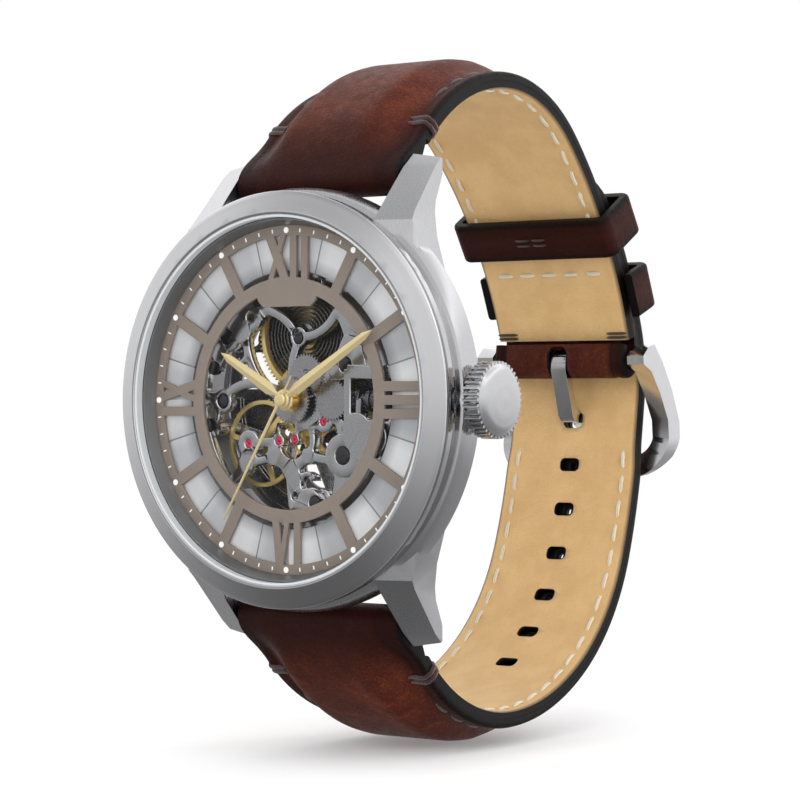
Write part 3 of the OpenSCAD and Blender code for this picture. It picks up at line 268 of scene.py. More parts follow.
def satin_ring():
    """Satin holder round the movement, with a fold in every hour window, drawn in bump and as painted shade
    lighter on one side of the fold than the other, and a seam in every window.
    """
    g = Surface("satin_ring", Metallic=0.55)
    angle, radius = g.polar()
    lines = g.ring_grain(9.0)
    sector = g.math("FRACT", g.math("ADD", g.math("MULTIPLY", angle, 6 / math.pi), 12.0))
    fold = g.math("ABSOLUTE", g.math("SUBTRACT", sector, 0.5))
    painted_fold_shade = g.span(sector, 0.35, 0.65, 0.0, 1.0)
    # painted shade: each window's fold is lighter on one side than the other
    tone = g.mix(painted_fold_shade, rgb(232, 233, 234), rgb(196, 198, 201))
    tone = g.mix(g.span(radius, 13.6, 15.2, 0.7, 0.0), tone, rgb(120, 122, 126))
    seam = g.span(fold, 0.006, 0.014, 0.75, 0.0)
    g.set(Base_Color=g.mix(seam, tone, rgb(96, 98, 102)))
    g.set(Roughness=g.span(lines, 0.3, 0.7, 0.3, 0.42))
    height = g.math("ADD", fold, g.math("MULTIPLY", lines, 0.01))
    g.set(Normal=g.bump(height, 1.2))
    return g.material


def glass(name, edge):
    """Thin clear glass: see-through, with reflections on its outer faces that grow towards the rim."""
    g = Surface(name, Roughness=0.0)
    outside = g.math("SUBTRACT", 1.0, g.add("ShaderNodeNewGeometry").outputs["Backfacing"])
    fresnel = g.math("MULTIPLY", g.add("ShaderNodeFresnel", IOR=1.45), outside)
    smudge = g.noise(g.place, 0.5, 4.0, 0.6)
    haze = g.span(smudge, 0.45, 0.7, 0.0, 0.04)
    gloss = g.add("ShaderNodeBsdfGlossy", Color=(1, 1, 1, 1), Roughness=haze)
    clear = g.add("ShaderNodeBsdfTransparent", Color=(1, 1, 1, 1))
    g.show(g.blend(g.math("MULTIPLY", fresnel, edge), clear, gloss))
    return g.material


def milky_plastic():
    g = Surface("milky_plastic", Roughness=0.35, Base_Color=rgb(205, 208, 210))
    g.set(Normal=g.bump(g.noise(g.place, 6.0), 0.004))
    g.set(Roughness=g.span(g.noise(g.place, 3.0), 0.3, 0.7, 0.3, 0.42))
    return g.material


def rubber():
    g = Surface("black_rubber", Roughness=0.7)
    grain = g.noise(g.place, 12.0)
    g.set(Base_Color=g.mix(grain, rgb(18, 18, 18), rgb(34, 34, 34)), Normal=g.bump(grain, 0.01))
    return g.material


def ruby():
    g = Surface("ruby", Roughness=0.08, Coat_Weight=0.6, Coat_Roughness=0.03)
    cloud = g.noise(g.place, 2.5, 3.0)
    g.set(Base_Color=g.mix(g.span(cloud, 0.3, 0.7), (0.32, 0.004, 0.03, 1), (0.62, 0.02, 0.09, 1)))
    # painted glow: a faint red emission lights the jewels up of themselves
    g.set(Emission_Color=(0.6, 0.02, 0.08, 1), Emission_Strength=0.06)
    g.set(Roughness=g.span(cloud, 0.3, 0.7, 0.05, 0.12))
    return g.material


def leather():
    """Waxed brown calf: mottle, pores and creases, with painted shade towards the edges and by the lugs, and
    darker along the sides near the lugs.
    """
    g = Surface("brown_leather")
    inset = g.attribute("inset")
    shade_and_darkening = g.attribute("shade_and_darkening")
    cloud = g.noise(g.place, 0.22, 4.0, 0.62, 0.6)
    blotch = g.noise(g.place, 0.9, 5.0, 0.68)
    pores = g.cells(g.place, 3.6)
    fine = g.noise(g.place, 9.0, 4.0, 0.7)
    crease = g.cells(g.scaled(0.55, 1.0, 1.0), 0.9)
    tone = g.mix(g.span(cloud, 0.36, 0.64, smooth=True), rgb(80, 34, 21), rgb(110, 54, 34))
    tone = g.mix(g.span(blotch, 0.35, 0.75, 0.0, 0.7), tone, rgb(90, 40, 25))
    speck = g.noise(g.place, 3.2, 3.0, 0.75)
    tone = g.mix(g.span(speck, 0.42, 0.6, 0.5, 0.0), tone, rgb(62, 24, 15))
    tone = g.mix(g.span(speck, 0.56, 0.72, 0.0, 0.4), tone, rgb(140, 78, 48))
    tone = g.mix(g.span(pores, 0.0, 0.12, 0.35, 0.0), tone, rgb(48, 18, 11))
    # painted shade in a band in from the edges, uneven with the blotches
    shadow = g.math("ADD", inset, g.span(blotch, 0.3, 0.7, -0.4, 0.4))
    tone = g.mix(g.span(shadow, 0.5, 2.4, 0.75, 0.0, True), tone, rgb(42, 16, 10))
    # painted shade by the lugs; darker along the sides near them, on the keepers and on the fold round the
    # buckle bar
    tone = g.mix(shade_and_darkening, tone, rgb(40, 14, 9))
    g.set(Base_Color=g.mix(g.span(inset, 0.2, 0.5, 1.0, 0.0), tone, rgb(22, 13, 11)))
    g.set(Roughness=g.span(blotch, 0.3, 0.75, 0.42, 0.6))
    g.set(Specular_IOR_Level=0.16)
    height = g.math("ADD", g.span(pores, 0.0, 0.25, 0.0, 0.5), g.math("MULTIPLY", fine, 0.35))
    height = g.math("ADD", height, g.span(crease, 0.0, 0.08, 0.0, 0.35))
    g.set(Normal=g.bump(height, 0.045))
    return g.material


def edge_paint():
    g = Surface("edge_paint", Roughness=0.5, Specular_IOR_Level=0.25)
    grain = g.noise(g.place, 5.0, 4.0)
    g.set(Base_Color=g.mix(g.span(grain, 0.3, 0.7), rgb(9, 8, 8), rgb(20, 18, 18)))
    g.set(Normal=g.bump(grain, 0.03), Roughness=g.span(grain, 0.3, 0.7, 0.44, 0.6))
    return g.material


def lining_leather():
    """Natural tan lining: warm, nearly smooth, with pores and soft stains."""
    g = Surface("tan_lining")
    inset = g.attribute("inset")
    cloud = g.noise(g.place, 0.25, 4.0, 0.6)
    pores = g.cells(g.place, 4.5)
    fine = g.noise(g.place, 7.0, 5.0, 0.75)
    tone = g.mix(g.span(cloud, 0.3, 0.7, smooth=True), rgb(226, 188, 130), rgb(214, 174, 117))
    tone = g.mix(g.span(fine, 0.45, 0.75, 0.0, 0.3), tone, rgb(192, 152, 98))
    tone = g.mix(g.span(pores, 0.0, 0.07, 0.25, 0.0), tone, rgb(160, 120, 74))
    g.set(Base_Color=g.mix(g.span(inset, 0.1, 0.45, 0.8, 0.0), tone, rgb(60, 42, 30)))
    g.set(Roughness=g.span(fine, 0.3, 0.7, 0.5, 0.66), Sheen_Weight=0.1)
    height = g.math("ADD", g.span(pores, 0.0, 0.15), g.math("MULTIPLY", fine, 0.6))
    g.set(Normal=g.bump(height, 0.02))
    return g.material


def thread(name, light, dark):
    """Twisted waxed thread, its twist drawn in bump and as painted shade between the plies."""
    g = Surface(name, Roughness=0.6)
    twist = g.add("ShaderNodeTexWave", Vector=g.place, Scale=2.4, Distortion=1.0)
    # painted shade: darker bands between the plies of the twist
    g.set(Base_Color=g.mix(g.span(twist.outputs[1], 0.2, 0.8), dark, light))
    g.set(Normal=g.bump(twist.outputs[1], 0.05), Sheen_Weight=0.3)
    return g.material


def white_print():
    # painted glow: a faint white emission keeps the print bright
    g = Surface("white_print", Roughness=0.5, Emission_Color=(1, 1, 1, 1), Emission_Strength=0.15)
    grain = g.noise(g.place, 18.0)
    g.set(Base_Color=g.mix(grain, rgb(232, 232, 228), rgb(250, 250, 247)), Normal=g.bump(grain, 0.004))
    return g.material


CASE = case_steel()
BEZEL = ring_steel("bezel_steel", 0.24, 7.0, 0.0012, spread=0.03)
BACK = ring_steel("back_steel", 0.3, 5.0, 0.003)
BUCKLE = plain_metal("buckle_steel", (0.76, 0.76, 0.77, 1), 0.17, (9.0, 0.8, 0.8), 0.04, 0.001)
CROWN = plain_metal("crown_steel", (0.64, 0.64, 0.65, 1), 0.14, (2.0, 4.0, 4.0), 0.03, 0.001)
REHAUT = ring_steel("rehaut_grey", 0.42, 9.0, 0.004, colour=(0.33, 0.34, 0.35, 1))
PLATE = plain_metal("rhodium_plate", RHODIUM, 0.22, (3.0, 3.0, 16.0), 0.05, 0.0008)
BRIDGE = plain_metal("rhodium_bridge", RHODIUM, 0.25, (14.0, 3.0, 2.0), 0.06, 0.0015)
# polished bevels, their colour brighter than the plates' and bezel's own metal: a painted highlight along every
# bevelled edge
BEVEL = plain_metal("polished_edge", (0.86, 0.87, 0.89, 1), 0.1, (2.0, 2.0, 2.0), 0.03, 0.0004)
COVER = plain_metal("grained_cover", (0.6, 0.6, 0.62, 1), 0.28, (2.0, 2.0, 14.0), 0.06, 0.0015)
WORK = plain_metal("movement_steel", (0.5, 0.5, 0.52, 1), 0.24, (6.0, 6.0, 6.0), 0.08, 0.004)
DARK_WORK = plain_metal("dark_steel", (0.2, 0.2, 0.21, 1), 0.28, (6.0, 6.0, 6.0), 0.08, 0.004)
GOLD = plain_metal("gilt", (1.0, 0.76, 0.30, 1), 0.32, (5.0, 5.0, 5.0), 0.06, 0.003, metallic=0.75)
PALE_GOLD = plain_metal("gilt_hands", (1.0, 0.82, 0.44, 1), 0.34, (7.0, 7.0, 7.0), 0.05, 0.002, metallic=0.75)
HOUR_WORK = gilt_centre()
SCREW = plain_metal("dark_screw", (0.09, 0.09, 0.10, 1), 0.2, (5.0, 5.0, 5.0), 0.06, 0.003)
BLUE = plain_metal("blued_steel", (0.16, 0.2, 0.34, 1), 0.25, (5.0, 5.0, 5.0), 0.05, 0.002)
DIAL = dial_lacquer()
HOLDER = satin_ring()
FRONT_GLASS = glass("clear_glass", edge=0.55)
BACK_GLASS = glass("back_glass", edge=1.0)
MILKY = milky_plastic()
RUBBER = rubber()
RUBY = ruby()
LEATHER = leather()
EDGE = edge_paint()
LINING = lining_leather()
CREAM = thread("cream_thread", rgb(246, 236, 214), rgb(214, 198, 164))
BROWN_THREAD = thread("brown_thread", rgb(66, 30, 20), rgb(28, 12, 8))
PRINT = white_print()

# ---------- CAD nodes: finish and softened edges

# material, bevel width in millimetres (0 leaves the edges as they are), material of the bevel, nodes
FINISH = (
    (CASE, 0.12, None, "case_middle"),
    (BEZEL, 0.06, BEVEL, "bezel"),
    (FRONT_GLASS, 0.0, None, "crystal"),
    (MILKY, 0.0, None, "crystal_gasket"),
    (REHAUT, 0.0, None, "flange_ring"),
    (DIAL, 0.05, None, "dial"),
    (HOLDER, 0.1, None, "holder_ring"),
    (BACK, 0.08, None, "case_back"),
    (BACK_GLASS, 0.0, None, "back_crystal"),
    (RUBBER, 0.0, None, "back_gasket crown_gasket"),
    (CROWN, 0.05, None, "crown crown_tube"),
    (WORK, 0.04, None, "winding_stem barrel_arbor setting_lever yoke"),
    (CROWN, 0.04, None, "spring_bars"),
    (PLATE, 0.13, BEVEL, "main_plate"),
    (BRIDGE, 0.12, BEVEL, "train_bridge barrel_bridge balance_cock"),
    (BRIDGE, 0.04, BEVEL, "pallet_cock"),
    (BRIDGE, 0.05, BEVEL, "automatic_bridge"),
    (COVER, 0.1, BEVEL, "keyless_cover"),
    (DARK_WORK, 0.08, BEVEL, "rotor"),
    (GOLD, 0.0, None, "barrel_drum centre_wheel third_wheel fourth_wheel escape_wheel"),
    (DARK_WORK, 0.0, None, "mainspring winding_pinion"),
    (WORK, 0.0, None,
     "ratchet_wheel crown_wheel intermediate_wheel minute_wheel setting_wheel reversing_wheel"),
    (WORK, 0.03, None, "click"),
    (WORK, 0.02, None, "pallet_fork"),
    (GOLD, 0.05, None, "balance_wheel"),
    (BLUE, 0.0, None, "hairspring"),
    (GOLD, 0.03, None, "cannon_pinion"),
    (HOUR_WORK, 0.0, None, "hour_wheel"),
    (DARK_WORK, 0.03, None, "sliding_pinion"),
    (RUBY, 0.06, None, "jewels"),
    (SCREW, 0.06, None, "movement_screws"),
    (BUCKLE, 0.05, None, "buckle_bar"),
    (BUCKLE, 0.22, None, "buckle_frame"),
    (BUCKLE, 0.16, None, "buckle_tongue"),
)


def finish_node(name, material, width, edge):
    """Gives a CAD node its material and rounds its edges with modifiers, so its own mesh stays as packed."""
    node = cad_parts[name]
    data = node.data
    data.materials.clear()
    data.materials.append(material)
    if edge:
        data.materials.append(edge)
    if not width:
        return
    if "custom_normal" in data.attributes:
        data.attributes.remove(data.attributes["custom_normal"])
    data.polygons.foreach_set("use_smooth", [True] * len(data.polygons))
    weld = node.modifiers.new("weld", "WELD")
    weld.merge_threshold = 0.0005 * MM
    bevel = node.modifiers.new("bevel", "BEVEL")
    bevel.width = width * MM
    bevel.segments = 2
    bevel.use_clamp_overlap = not edge
    bevel.limit_method = "ANGLE"
    bevel.angle_limit = math.radians(32)
    bevel.miter_outer = "MITER_ARC"
    if edge:
        bevel.material = 1
    node.modifiers.new("normals", "WEIGHTED_NORMAL")


for finish, width, edge, names in FINISH:
    for node_name in names.split():
        finish_node(node_name, finish, width, edge)

# ---------- mesh building


def make_mesh(name, points, faces, materials, body, attributes=None, smooth_angle=40):
    """A piece from points in millimetres, riding on a body. faces are (corners, material index)."""
    data = bpy.data.meshes.new(name)
    data.from_pydata([Vector(p) * MM for p in points], [], [corners for corners, _ in faces])
    for material in materials:
        data.materials.append(material)
    data.polygons.foreach_set("material_index", [index for _, index in faces])
    data.polygons.foreach_set("use_smooth", [True] * len(faces))
    for key, values in (attributes or {}).items():
        data.attributes.new(key, "FLOAT", "POINT").data.foreach_set("value", values)
    mesh = bmesh.new()
    mesh.from_mesh(data)
    bmesh.ops.recalc_face_normals(mesh, faces=mesh.faces)
    mesh.to_mesh(data)
    mesh.free()
    data.set_sharp_from_angle(angle=math.radians(smooth_angle))
    piece = bpy.data.objects.new(name, data)
    bpy.context.scene.collection.objects.link(piece)
    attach(piece, body)
    return piece


def smoothstep(low, high, value):
    t = min(max((value - low) / (high - low), 0.0), 1.0)
    return t * t * (3 - 2 * t)


def mix(a, b, t):
    return a + (b - a) * t


# ---------- strap paths, in the (y, z) plane

BAR_Y = node_middle("spring_bars")[1]
BAR_RADIUS = 0.75
BAR_Z = node_box("spring_bars")[1][2] - BAR_RADIUS
LUG_START = (BAR_Y + 4.3, BAR_Z + 3.7)
LUG_HEADING = 48.6
UPPER_ARCS = ((21.6, LUG_HEADING), (17.84, 45.0), (53.0, 28.2))
LOWER_ARCS = ((21.6, LUG_HEADING), (27.6, 32.0), (24.0, 38.0), (66.0, 12.0))
TAIL_ARCS = ((1000.0, 0.3), (18.0, 26.0), (56.0, 24.0))
LINING_T = 0.9
PAD_T = 4.4
MID_T = 3.6
THIN_T = 1.95
GLUE_T = 0.02
LOOP_RADIUS = 1.95
HALF_AT_LUG = 11.0
TAPER = 0.038
TAIL_HALF = 9.0
STEP = 0.8


class Station:
    """A place along a strap path: point and outward normal in (y, z), and the length run so far."""

    def __init__(self, y, z, normal, run):
        self.y, self.z, self.normal, self.run = y, z, normal, run

    def at(self, offset):
        return (self.y + offset * self.normal[0], self.z + offset * self.normal[1])


def trace(start, heading, arcs, run=0.0):
    """Stations along clockwise arcs, and the heading at their end."""
    stations = []
    y, z = start
    for radius, sweep in arcs:
        a = math.radians(heading)
        cy, cz = y + radius * math.sin(a), z - radius * math.cos(a)
        length = radius * math.radians(sweep)
        count = max(2, round(length / STEP))
        for k in range(1 if stations else 0, count + 1):
            b = math.radians(heading - sweep * k / count)
            normal = (-math.sin(b), math.cos(b))
            y, z = cy + radius * normal[0], cz + radius * normal[1]
            stations.append(Station(y, z, normal, run + length * k / count))
        run += length
        heading -= sweep
    return stations, heading


def mirrored(stations):
    return [Station(s.y, -s.z, (s.normal[0], -s.normal[1]), s.run) for s in stations]


def half_width(y):
    return HALF_AT_LUG - TAPER * max(y, 0.0)


def arc_lengths(arcs):
    return [radius * math.radians(sweep) for radius, sweep in arcs]


def pad_thickness(run, arcs):
    """Thickness in the middle of the strap: padded at the lug, thin after two arcs."""
    first, second = arc_lengths(arcs)[:2]
    if run < first:
        return mix(PAD_T, MID_T, run / first)
    return mix(MID_T, THIN_T, min((run - first) / second, 1.0))


def outer_offset(thickness, inset):
    """Height of the outer leather over the wrist face at a distance in from the edge."""
    edge = min(thickness, THIN_T)
    height = edge + (thickness - edge) * smoothstep(1.9, 6.0, inset)
    height -= 0.13 * math.exp(-(((inset - 1.6) / 0.3) ** 2))
    radius = 0.55
    if inset < radius:
        height -= radius * (1 - math.sqrt(max(0.0, 1 - (1 - inset / radius) ** 2)))
    return height


# distances in from the edge, close together where the edge is round and the stitch groove runs
INSETS = [0.0, 0.06, 0.16, 0.3, 0.5, 0.75, 1.05, 1.3, 1.5, 1.7]
INSETS += [1.95, 2.3, 2.8, 3.4, 4.0, 4.7, 5.4, 6.2, 7.2, 8.4]


def columns(half):
    """(x, distance in from the edge) across the strap, from -half to half."""
    scale = min(1.0, half / 9.0)
    left = [(-half + i * scale, i * scale) for i in INSETS]
    return left + [(0.0, half)] + [(-x, i) for x, i in reversed(left)]


def band(name, rows, materials, shade_and_darkening=None, low_side=0):
    """A closed band. rows are (half width, low(inset), high(inset), run); low and high give (y, z)."""
    points, insets, shade_and_darkening_values, faces = [], [], [], []
    width = 2 * len(INSETS) + 1
    for half, low, high, run in rows:
        for side in (low, high):
            for x, inset in columns(half):
                y, z = side(inset)
                points.append((x, y, z))
                insets.append(inset)
                shade_and_darkening_values.append(shade_and_darkening(run, inset) if shade_and_darkening else 0.0)
    for k in range(len(rows) - 1):
        a, b = 2 * width * k, 2 * width * (k + 1)
        for j in range(width - 1):
            faces.append(((a + j, a + j + 1, b + j + 1, b + j), low_side))
            faces.append(((a + width + j, b + width + j, b + width + j + 1, a + width + j + 1), 0))
        for j in (0, width - 1):
            faces.append(((a + j, b + j, b + width + j, a + width + j), 1))
    for k in (0, len(rows) - 1):
        a = 2 * width * k
        for j in range(width - 1):
            faces.append(((a + j, a + j + 1, a + width + j + 1, a + width + j), 1))
    return make_mesh(name, points, faces, materials, "root", {"inset": insets, "shade_and_darkening": shade_and_darkening_values}, 50)


def lug_rows(first, thickness):
    """Rows that carry the leather from the path's start round the spring bar, for +z."""
    rows = []
    turn_in, turn_out, bottom = math.radians(160), math.radians(-50), math.radians(262)
    heading = math.radians(LUG_HEADING)
    back = (-math.cos(heading), -math.sin(heading))

    def on_bar(angle, r):
        return (BAR_Y + r * math.cos(angle), BAR_Z + r * math.sin(angle))

    def high(t, inset):
        r = LOOP_RADIUS - 0.3 * (1 - smoothstep(0.0, 4.0, inset)) - (0.25 if inset < 0.1 else 0.0)
        if t > 0.55:
            return on_bar(mix(turn_in, bottom, (t - 0.55) / 0.45), r)
        u = t / 0.55
        p0 = first.at(outer_offset(thickness, inset))
        p3 = on_bar(turn_in, r)
        p1 = (p0[0] + back[0] * 2.2, p0[1] + back[1] * 2.2)
        p2 = (p3[0] + math.sin(turn_in) * 2.0, p3[1] - math.cos(turn_in) * 2.0)
        w = ((1 - u) ** 3, 3 * u * (1 - u) ** 2, 3 * u * u * (1 - u), u**3)
        return tuple(sum(share * p[axis] for share, p in zip(w, (p0, p1, p2, p3))) for axis in (0, 1))

    def low(t):
        p0 = first.at(LINING_T + GLUE_T)
        p1 = on_bar(turn_out, LOOP_RADIUS)
        if t < 0.6:
            u = t / 0.6
            return (mix(p0[0], p1[0], u), mix(p0[1], p1[1], u))
        return on_bar(mix(turn_out, bottom - 2 * math.pi, (t - 0.6) / 0.4), LOOP_RADIUS)

    steps = 16
    for k in range(steps, 0, -1):
        t = k / steps
        rows.append((HALF_AT_LUG, lambda i, t=t: low(t), lambda i, t=t: high(t, i), -6 * t))
    return rows


def flip(rows):
    """The same rows on the 6 o'clock side."""

    def turned(side):
        return lambda inset: (side(inset)[0], -side(inset)[1])

    return [(half, turned(low), turned(high), run) for half, low, high, run in rows]


def path_rows(stations, arcs, width=None):
    rows = []
    for s in stations:
        thickness = pad_thickness(s.run, arcs)
        half = width(s) if width else half_width(s.y)
        low = lambda inset, s=s: s.at(LINING_T + GLUE_T)
        high = lambda inset, s=s, t=thickness: s.at(outer_offset(t, inset))
        rows.append((half, low, high, s.run))
    return rows


def lining_rows(stations, width=None):
    rows = []
    for s in stations:
        half = (width(s) if width else half_width(s.y)) - GLUE_T
        low = lambda inset, s=s: s.at(0.16 * (1 - smoothstep(0.0, 0.35, inset)))
        high = lambda inset, s=s: s.at(LINING_T)
        rows.append((half, low, high, s.run))
    return rows


def lug_shade_and_darkening(run, inset):
    """How far the leather is darkened: painted shade by the lug, where the strap runs round the spring bar in
    between the lugs, and darker along the sides next to it.
    """
    near = 1 - smoothstep(-3.0, 2.0, run)
    sides = (1 - smoothstep(0.8, 3.4, inset)) * (1 - smoothstep(6.0, 26.0, run))
    return min(1.0, 0.9 * near + 0.55 * sides)


def punched(piece, cutters):
    """Cuts the cutters' shapes out of a piece, keeps their material on the cut faces, and removes them."""
    for cutter in cutters:
        cut = piece.modifiers.new("cut", "BOOLEAN")
        cut.object = cutter
        cut.solver = "EXACT"
        cut.material_mode = "TRANSFER"
    bpy.context.view_layer.update()
    depsgraph = bpy.context.evaluated_depsgraph_get()
    piece.data = bpy.data.meshes.new_from_object(piece.evaluated_get(depsgraph))
    piece.modifiers.clear()
    for cutter in cutters:
        bpy.data.objects.remove(cutter)


def rounded_outline(width, height, radius, steps=4):
    """Corner-rounded rectangle round the origin, as (u, v) points."""
    points = []
    for corner in range(4):
        cx = (width / 2 - radius) * (1 if corner in (0, 3) else -1)
        cy = (height / 2 - radius) * (1 if corner < 2 else -1)
        for k in range(steps + 1):
            a = math.pi / 2 * (corner + k / steps)
            points.append((cx + radius * math.cos(a), cy + radius * math.sin(a)))
    return points


def slot_cutter(name, station, width, length, depth_low, depth_high):
    """A rounded prism along a station's normal: width across the strap, length along it."""
    outline = rounded_outline(width, length, min(width, length) * 0.36)
    along = (-station.normal[1], station.normal[0])
    points, count = [], len(outline)
    for depth in (depth_low, depth_high):
        y, z = station.at(depth)
        points += [(u, y + along[0] * v, z + along[1] * v) for u, v in outline]
    faces = [((k, (k + 1) % count, count + (k + 1) % count, count + k), 0) for k in range(count)]
    faces += [(tuple(range(count)), 0), (tuple(range(count, 2 * count)), 0)]
    return make_mesh(name, points, faces, [EDGE], "root")


def station_at(stations, run):
    """The place at a run along a path, between its stations."""
    for a, b in zip(stations, stations[1:]):
        if a.run <= run <= b.run:
            t = (run - a.run) / (b.run - a.run)
            normal = (mix(a.normal[0], b.normal[0], t), mix(a.normal[1], b.normal[1], t))
            size = math.hypot(*normal)
            normal = (normal[0] / size, normal[1] / size)
            return Station(mix(a.y, b.y, t), mix(a.z, b.z, t), normal, run)
    return stations[-1] if run > stations[-1].run else stations[0]


upper_path, _ = trace(LUG_START, LUG_HEADING, UPPER_ARCS)
lower_plain, lower_heading = trace(LUG_START, LUG_HEADING, LOWER_ARCS)
lower_end = lower_plain[-1]
tail_plain, _ = trace((lower_end.y, lower_end.z), lower_heading, TAIL_ARCS, lower_end.run)
lower_path = mirrored(lower_plain + tail_plain[1:])
LOWER_END = lower_end.run
TAIL_END = lower_path[-1].run
TIP_LENGTH = 9.0


def lower_half(station):
    """Half width of the lower strap: tapering, then the tail, then its rounded tip."""
    half = max(half_width(station.y), TAIL_HALF)
    half = mix(half, TAIL_HALF, smoothstep(LOWER_END - 4, LOWER_END, station.run))
    left = TAIL_END - station.run
    if left < TIP_LENGTH:
        half *= math.sqrt(max(0.02, 1 - (1 - left / TIP_LENGTH) ** 2))
    return half


upper_rows = lug_rows(upper_path[0], PAD_T) + path_rows(upper_path, UPPER_ARCS)
lower_rows = flip(lug_rows(lower_plain[0], PAD_T)) + path_rows(lower_path, LOWER_ARCS, lower_half)
upper_leather = band("strap_upper_leather", upper_rows, [LEATHER, EDGE], lug_shade_and_darkening, 1)
upper_lining = band("lining_upper_leather", lining_rows(upper_path), [LINING, EDGE])
lower_leather = band("strap_lower_leather", lower_rows, [LEATHER, EDGE], lug_shade_and_darkening, 1)
lower_lining = band("lining_lower_leather", lining_rows(lower_path, lower_half), [LINING, EDGE])

HOLE_PITCH = 5.5
HOLE_FIRST = 3.1
UNUSED_HOLES = 6
HOLE_IN_USE_PAST_END = 2.4
HOLE_WIDTH = 2.7
CUT_FROM, CUT_TO = -2.0, 6.0


def hole_cutters(width, length):
    """Cutters for the unused holes, and for the one the tongue goes through."""
    made = []
    for index in range(UNUSED_HOLES):
        spot = station_at(lower_path, LOWER_END - HOLE_FIRST - HOLE_PITCH * index)
        made.append(slot_cutter(f"hole_{index}", spot, width, length, CUT_FROM, CUT_TO))
    spot = station_at(lower_path, LOWER_END + HOLE_IN_USE_PAST_END)
    made.append(slot_cutter("hole_in_use", spot, HOLE_WIDTH, 2.0, CUT_FROM, CUT_TO))
    return made


# an unused hole is narrower in the outer leather, so no floor shows through it
for strip, hole in ((lower_leather, (0.9, 0.9)), (lower_lining, (HOLE_WIDTH, 1.6))):
    punched(strip, hole_cutters(*hole))

# ---------- fold of leather round the buckle bar

BUCKLE_Y, BUCKLE_Z = node_middle("buckle_bar")[1:]


def fold_rows():
    """Leather coming down behind the bar, round it and up its wrist side."""
    rows = []
    inner, outer, half = 0.85, 1.9, 9.25
    path = [((BUCKLE_Y + inner, BUCKLE_Z + up), (1.0, 0.0)) for up in (3.3, 1.5)]
    for k in range(15):
        a = -math.pi * k / 14
        normal = (math.cos(a), math.sin(a))
        path.append(((BUCKLE_Y + inner * normal[0], BUCKLE_Z + inner * normal[1]), normal))
    path.append(((BUCKLE_Y - inner, BUCKLE_Z + 1.0), (-1.0, 0.0)))
    path.append(((BUCKLE_Y - inner + 0.15, BUCKLE_Z + 2.0), (-0.98, 0.2)))
    for index, (point, normal) in enumerate(path):
        s = Station(point[0], point[1], normal, 100 + index)
        low = lambda inset, s=s: s.at(0.0)
        high = lambda inset, s=s: s.at(outer_offset(outer - inner, inset))
        rows.append((half, low, high, s.run))
    return rows


def fold_darkening(run, inset):
    return 0.35 + 0.65 * (1 - smoothstep(1.6, 2.1, inset))


strap_fold = band("strap_fold", fold_rows(), [LEATHER, EDGE], fold_darkening)
slot_place = Station(BUCKLE_Y - 3, BUCKLE_Z - 0.3, (1.0, 0.0), 0)
punched(strap_fold, [slot_cutter("tongue_slot", slot_place, HOLE_WIDTH, 4.4, 0.0, 6.5)])

# ---------- stitching


THREAD_SIDES = 6
THREAD_FLAT = 0.75
STITCH_PITCH = 3.0
STITCH_LENGTH = 2.2
STITCH_RADIUS = 0.28
STITCH_PARTS = 6
STITCH_IN = 1.6


class Threads:
    """Collects short lengths of thread in one mesh."""

    def __init__(self):
        self.points, self.faces = [], []

    def length(self, spine, radius, up):
        """A rounded thread along spine points, flattened along up."""
        first, count, sides = len(self.points), len(spine), THREAD_SIDES
        for k, point in enumerate(spine):
            ahead = Vector(spine[min(k + 1, count - 1)]) - Vector(spine[max(k - 1, 0)])
            ahead.normalize()
            side = ahead.cross(Vector(up[k])).normalized()
            lift = side.cross(ahead).normalized()
            taper = 0.45 if k in (0, count - 1) else 1.0
            for j in range(sides):
                a = 2 * math.pi * j / sides
                offset = side * math.cos(a) * radius + lift * math.sin(a) * radius * THREAD_FLAT
                self.points.append(tuple(Vector(point) + offset * taper))
        for k in range(count - 1):
            for j in range(sides):
                a, b = first + k * sides + j, first + k * sides + (j + 1) % sides
                self.faces.append(((a, b, b + sides, a + sides), 0))
        for end in (first, first + (count - 1) * sides):
            self.faces.append((tuple(range(end, end + sides)), 0))

    def piece(self, name, material, body="root"):
        return make_mesh(name, self.points, self.faces, [material], body, smooth_angle=70)


def stitch_rise(share):
    """Height of a stitch over the leather at a share of its length; its ends dip in."""
    return 0.2 * math.sin(math.pi * share) ** 0.6 - 0.1


def along_strap(threads, stations, start, stop, width, height=None):
    """Two rows of saddle stitches, on the outer face at height(station), or on the lining without one."""
    run = start
    while run + STITCH_LENGTH < stop:
        for side in (-1, 1):
            spine, up = [], []
            for share in (k / STITCH_PARTS for k in range(STITCH_PARTS + 1)):
                s = station_at(stations, run + STITCH_LENGTH * share)
                offset = height(s) + stitch_rise(share) if height else -stitch_rise(share)
                spine.append((side * (width(s) - STITCH_IN), *s.at(offset)))
                up.append((0.0, *s.normal))
            threads.length(spine, STITCH_RADIUS, up)
        run += STITCH_PITCH


def across_lining(threads, station, half):
    """A row of stitches across the lining."""
    count = max(1, round(2 * half / STITCH_PITCH))
    for index in range(count):
        middle = -half + 2 * half * (index + 0.5) / count
        shares = [k / STITCH_PARTS for k in range(STITCH_PARTS + 1)]
        spine = [(middle + STITCH_LENGTH * (t - 0.5), *station.at(-stitch_rise(t))) for t in shares]
        threads.length(spine, STITCH_RADIUS, [(0.0, *station.normal)] * len(spine))


def station_near_z(stations, z, start):
    """The first station past a run at which the path crosses a height."""
    for a, b in zip(stations, stations[1:]):
        if a.run >= start and (a.z - z) * (b.z - z) <= 0:
            return station_at(stations, mix(a.run, b.run, (a.z - z) / (a.z - b.z)))
    return stations[-1]


def upper_half(s):
    return half_width(s.y)


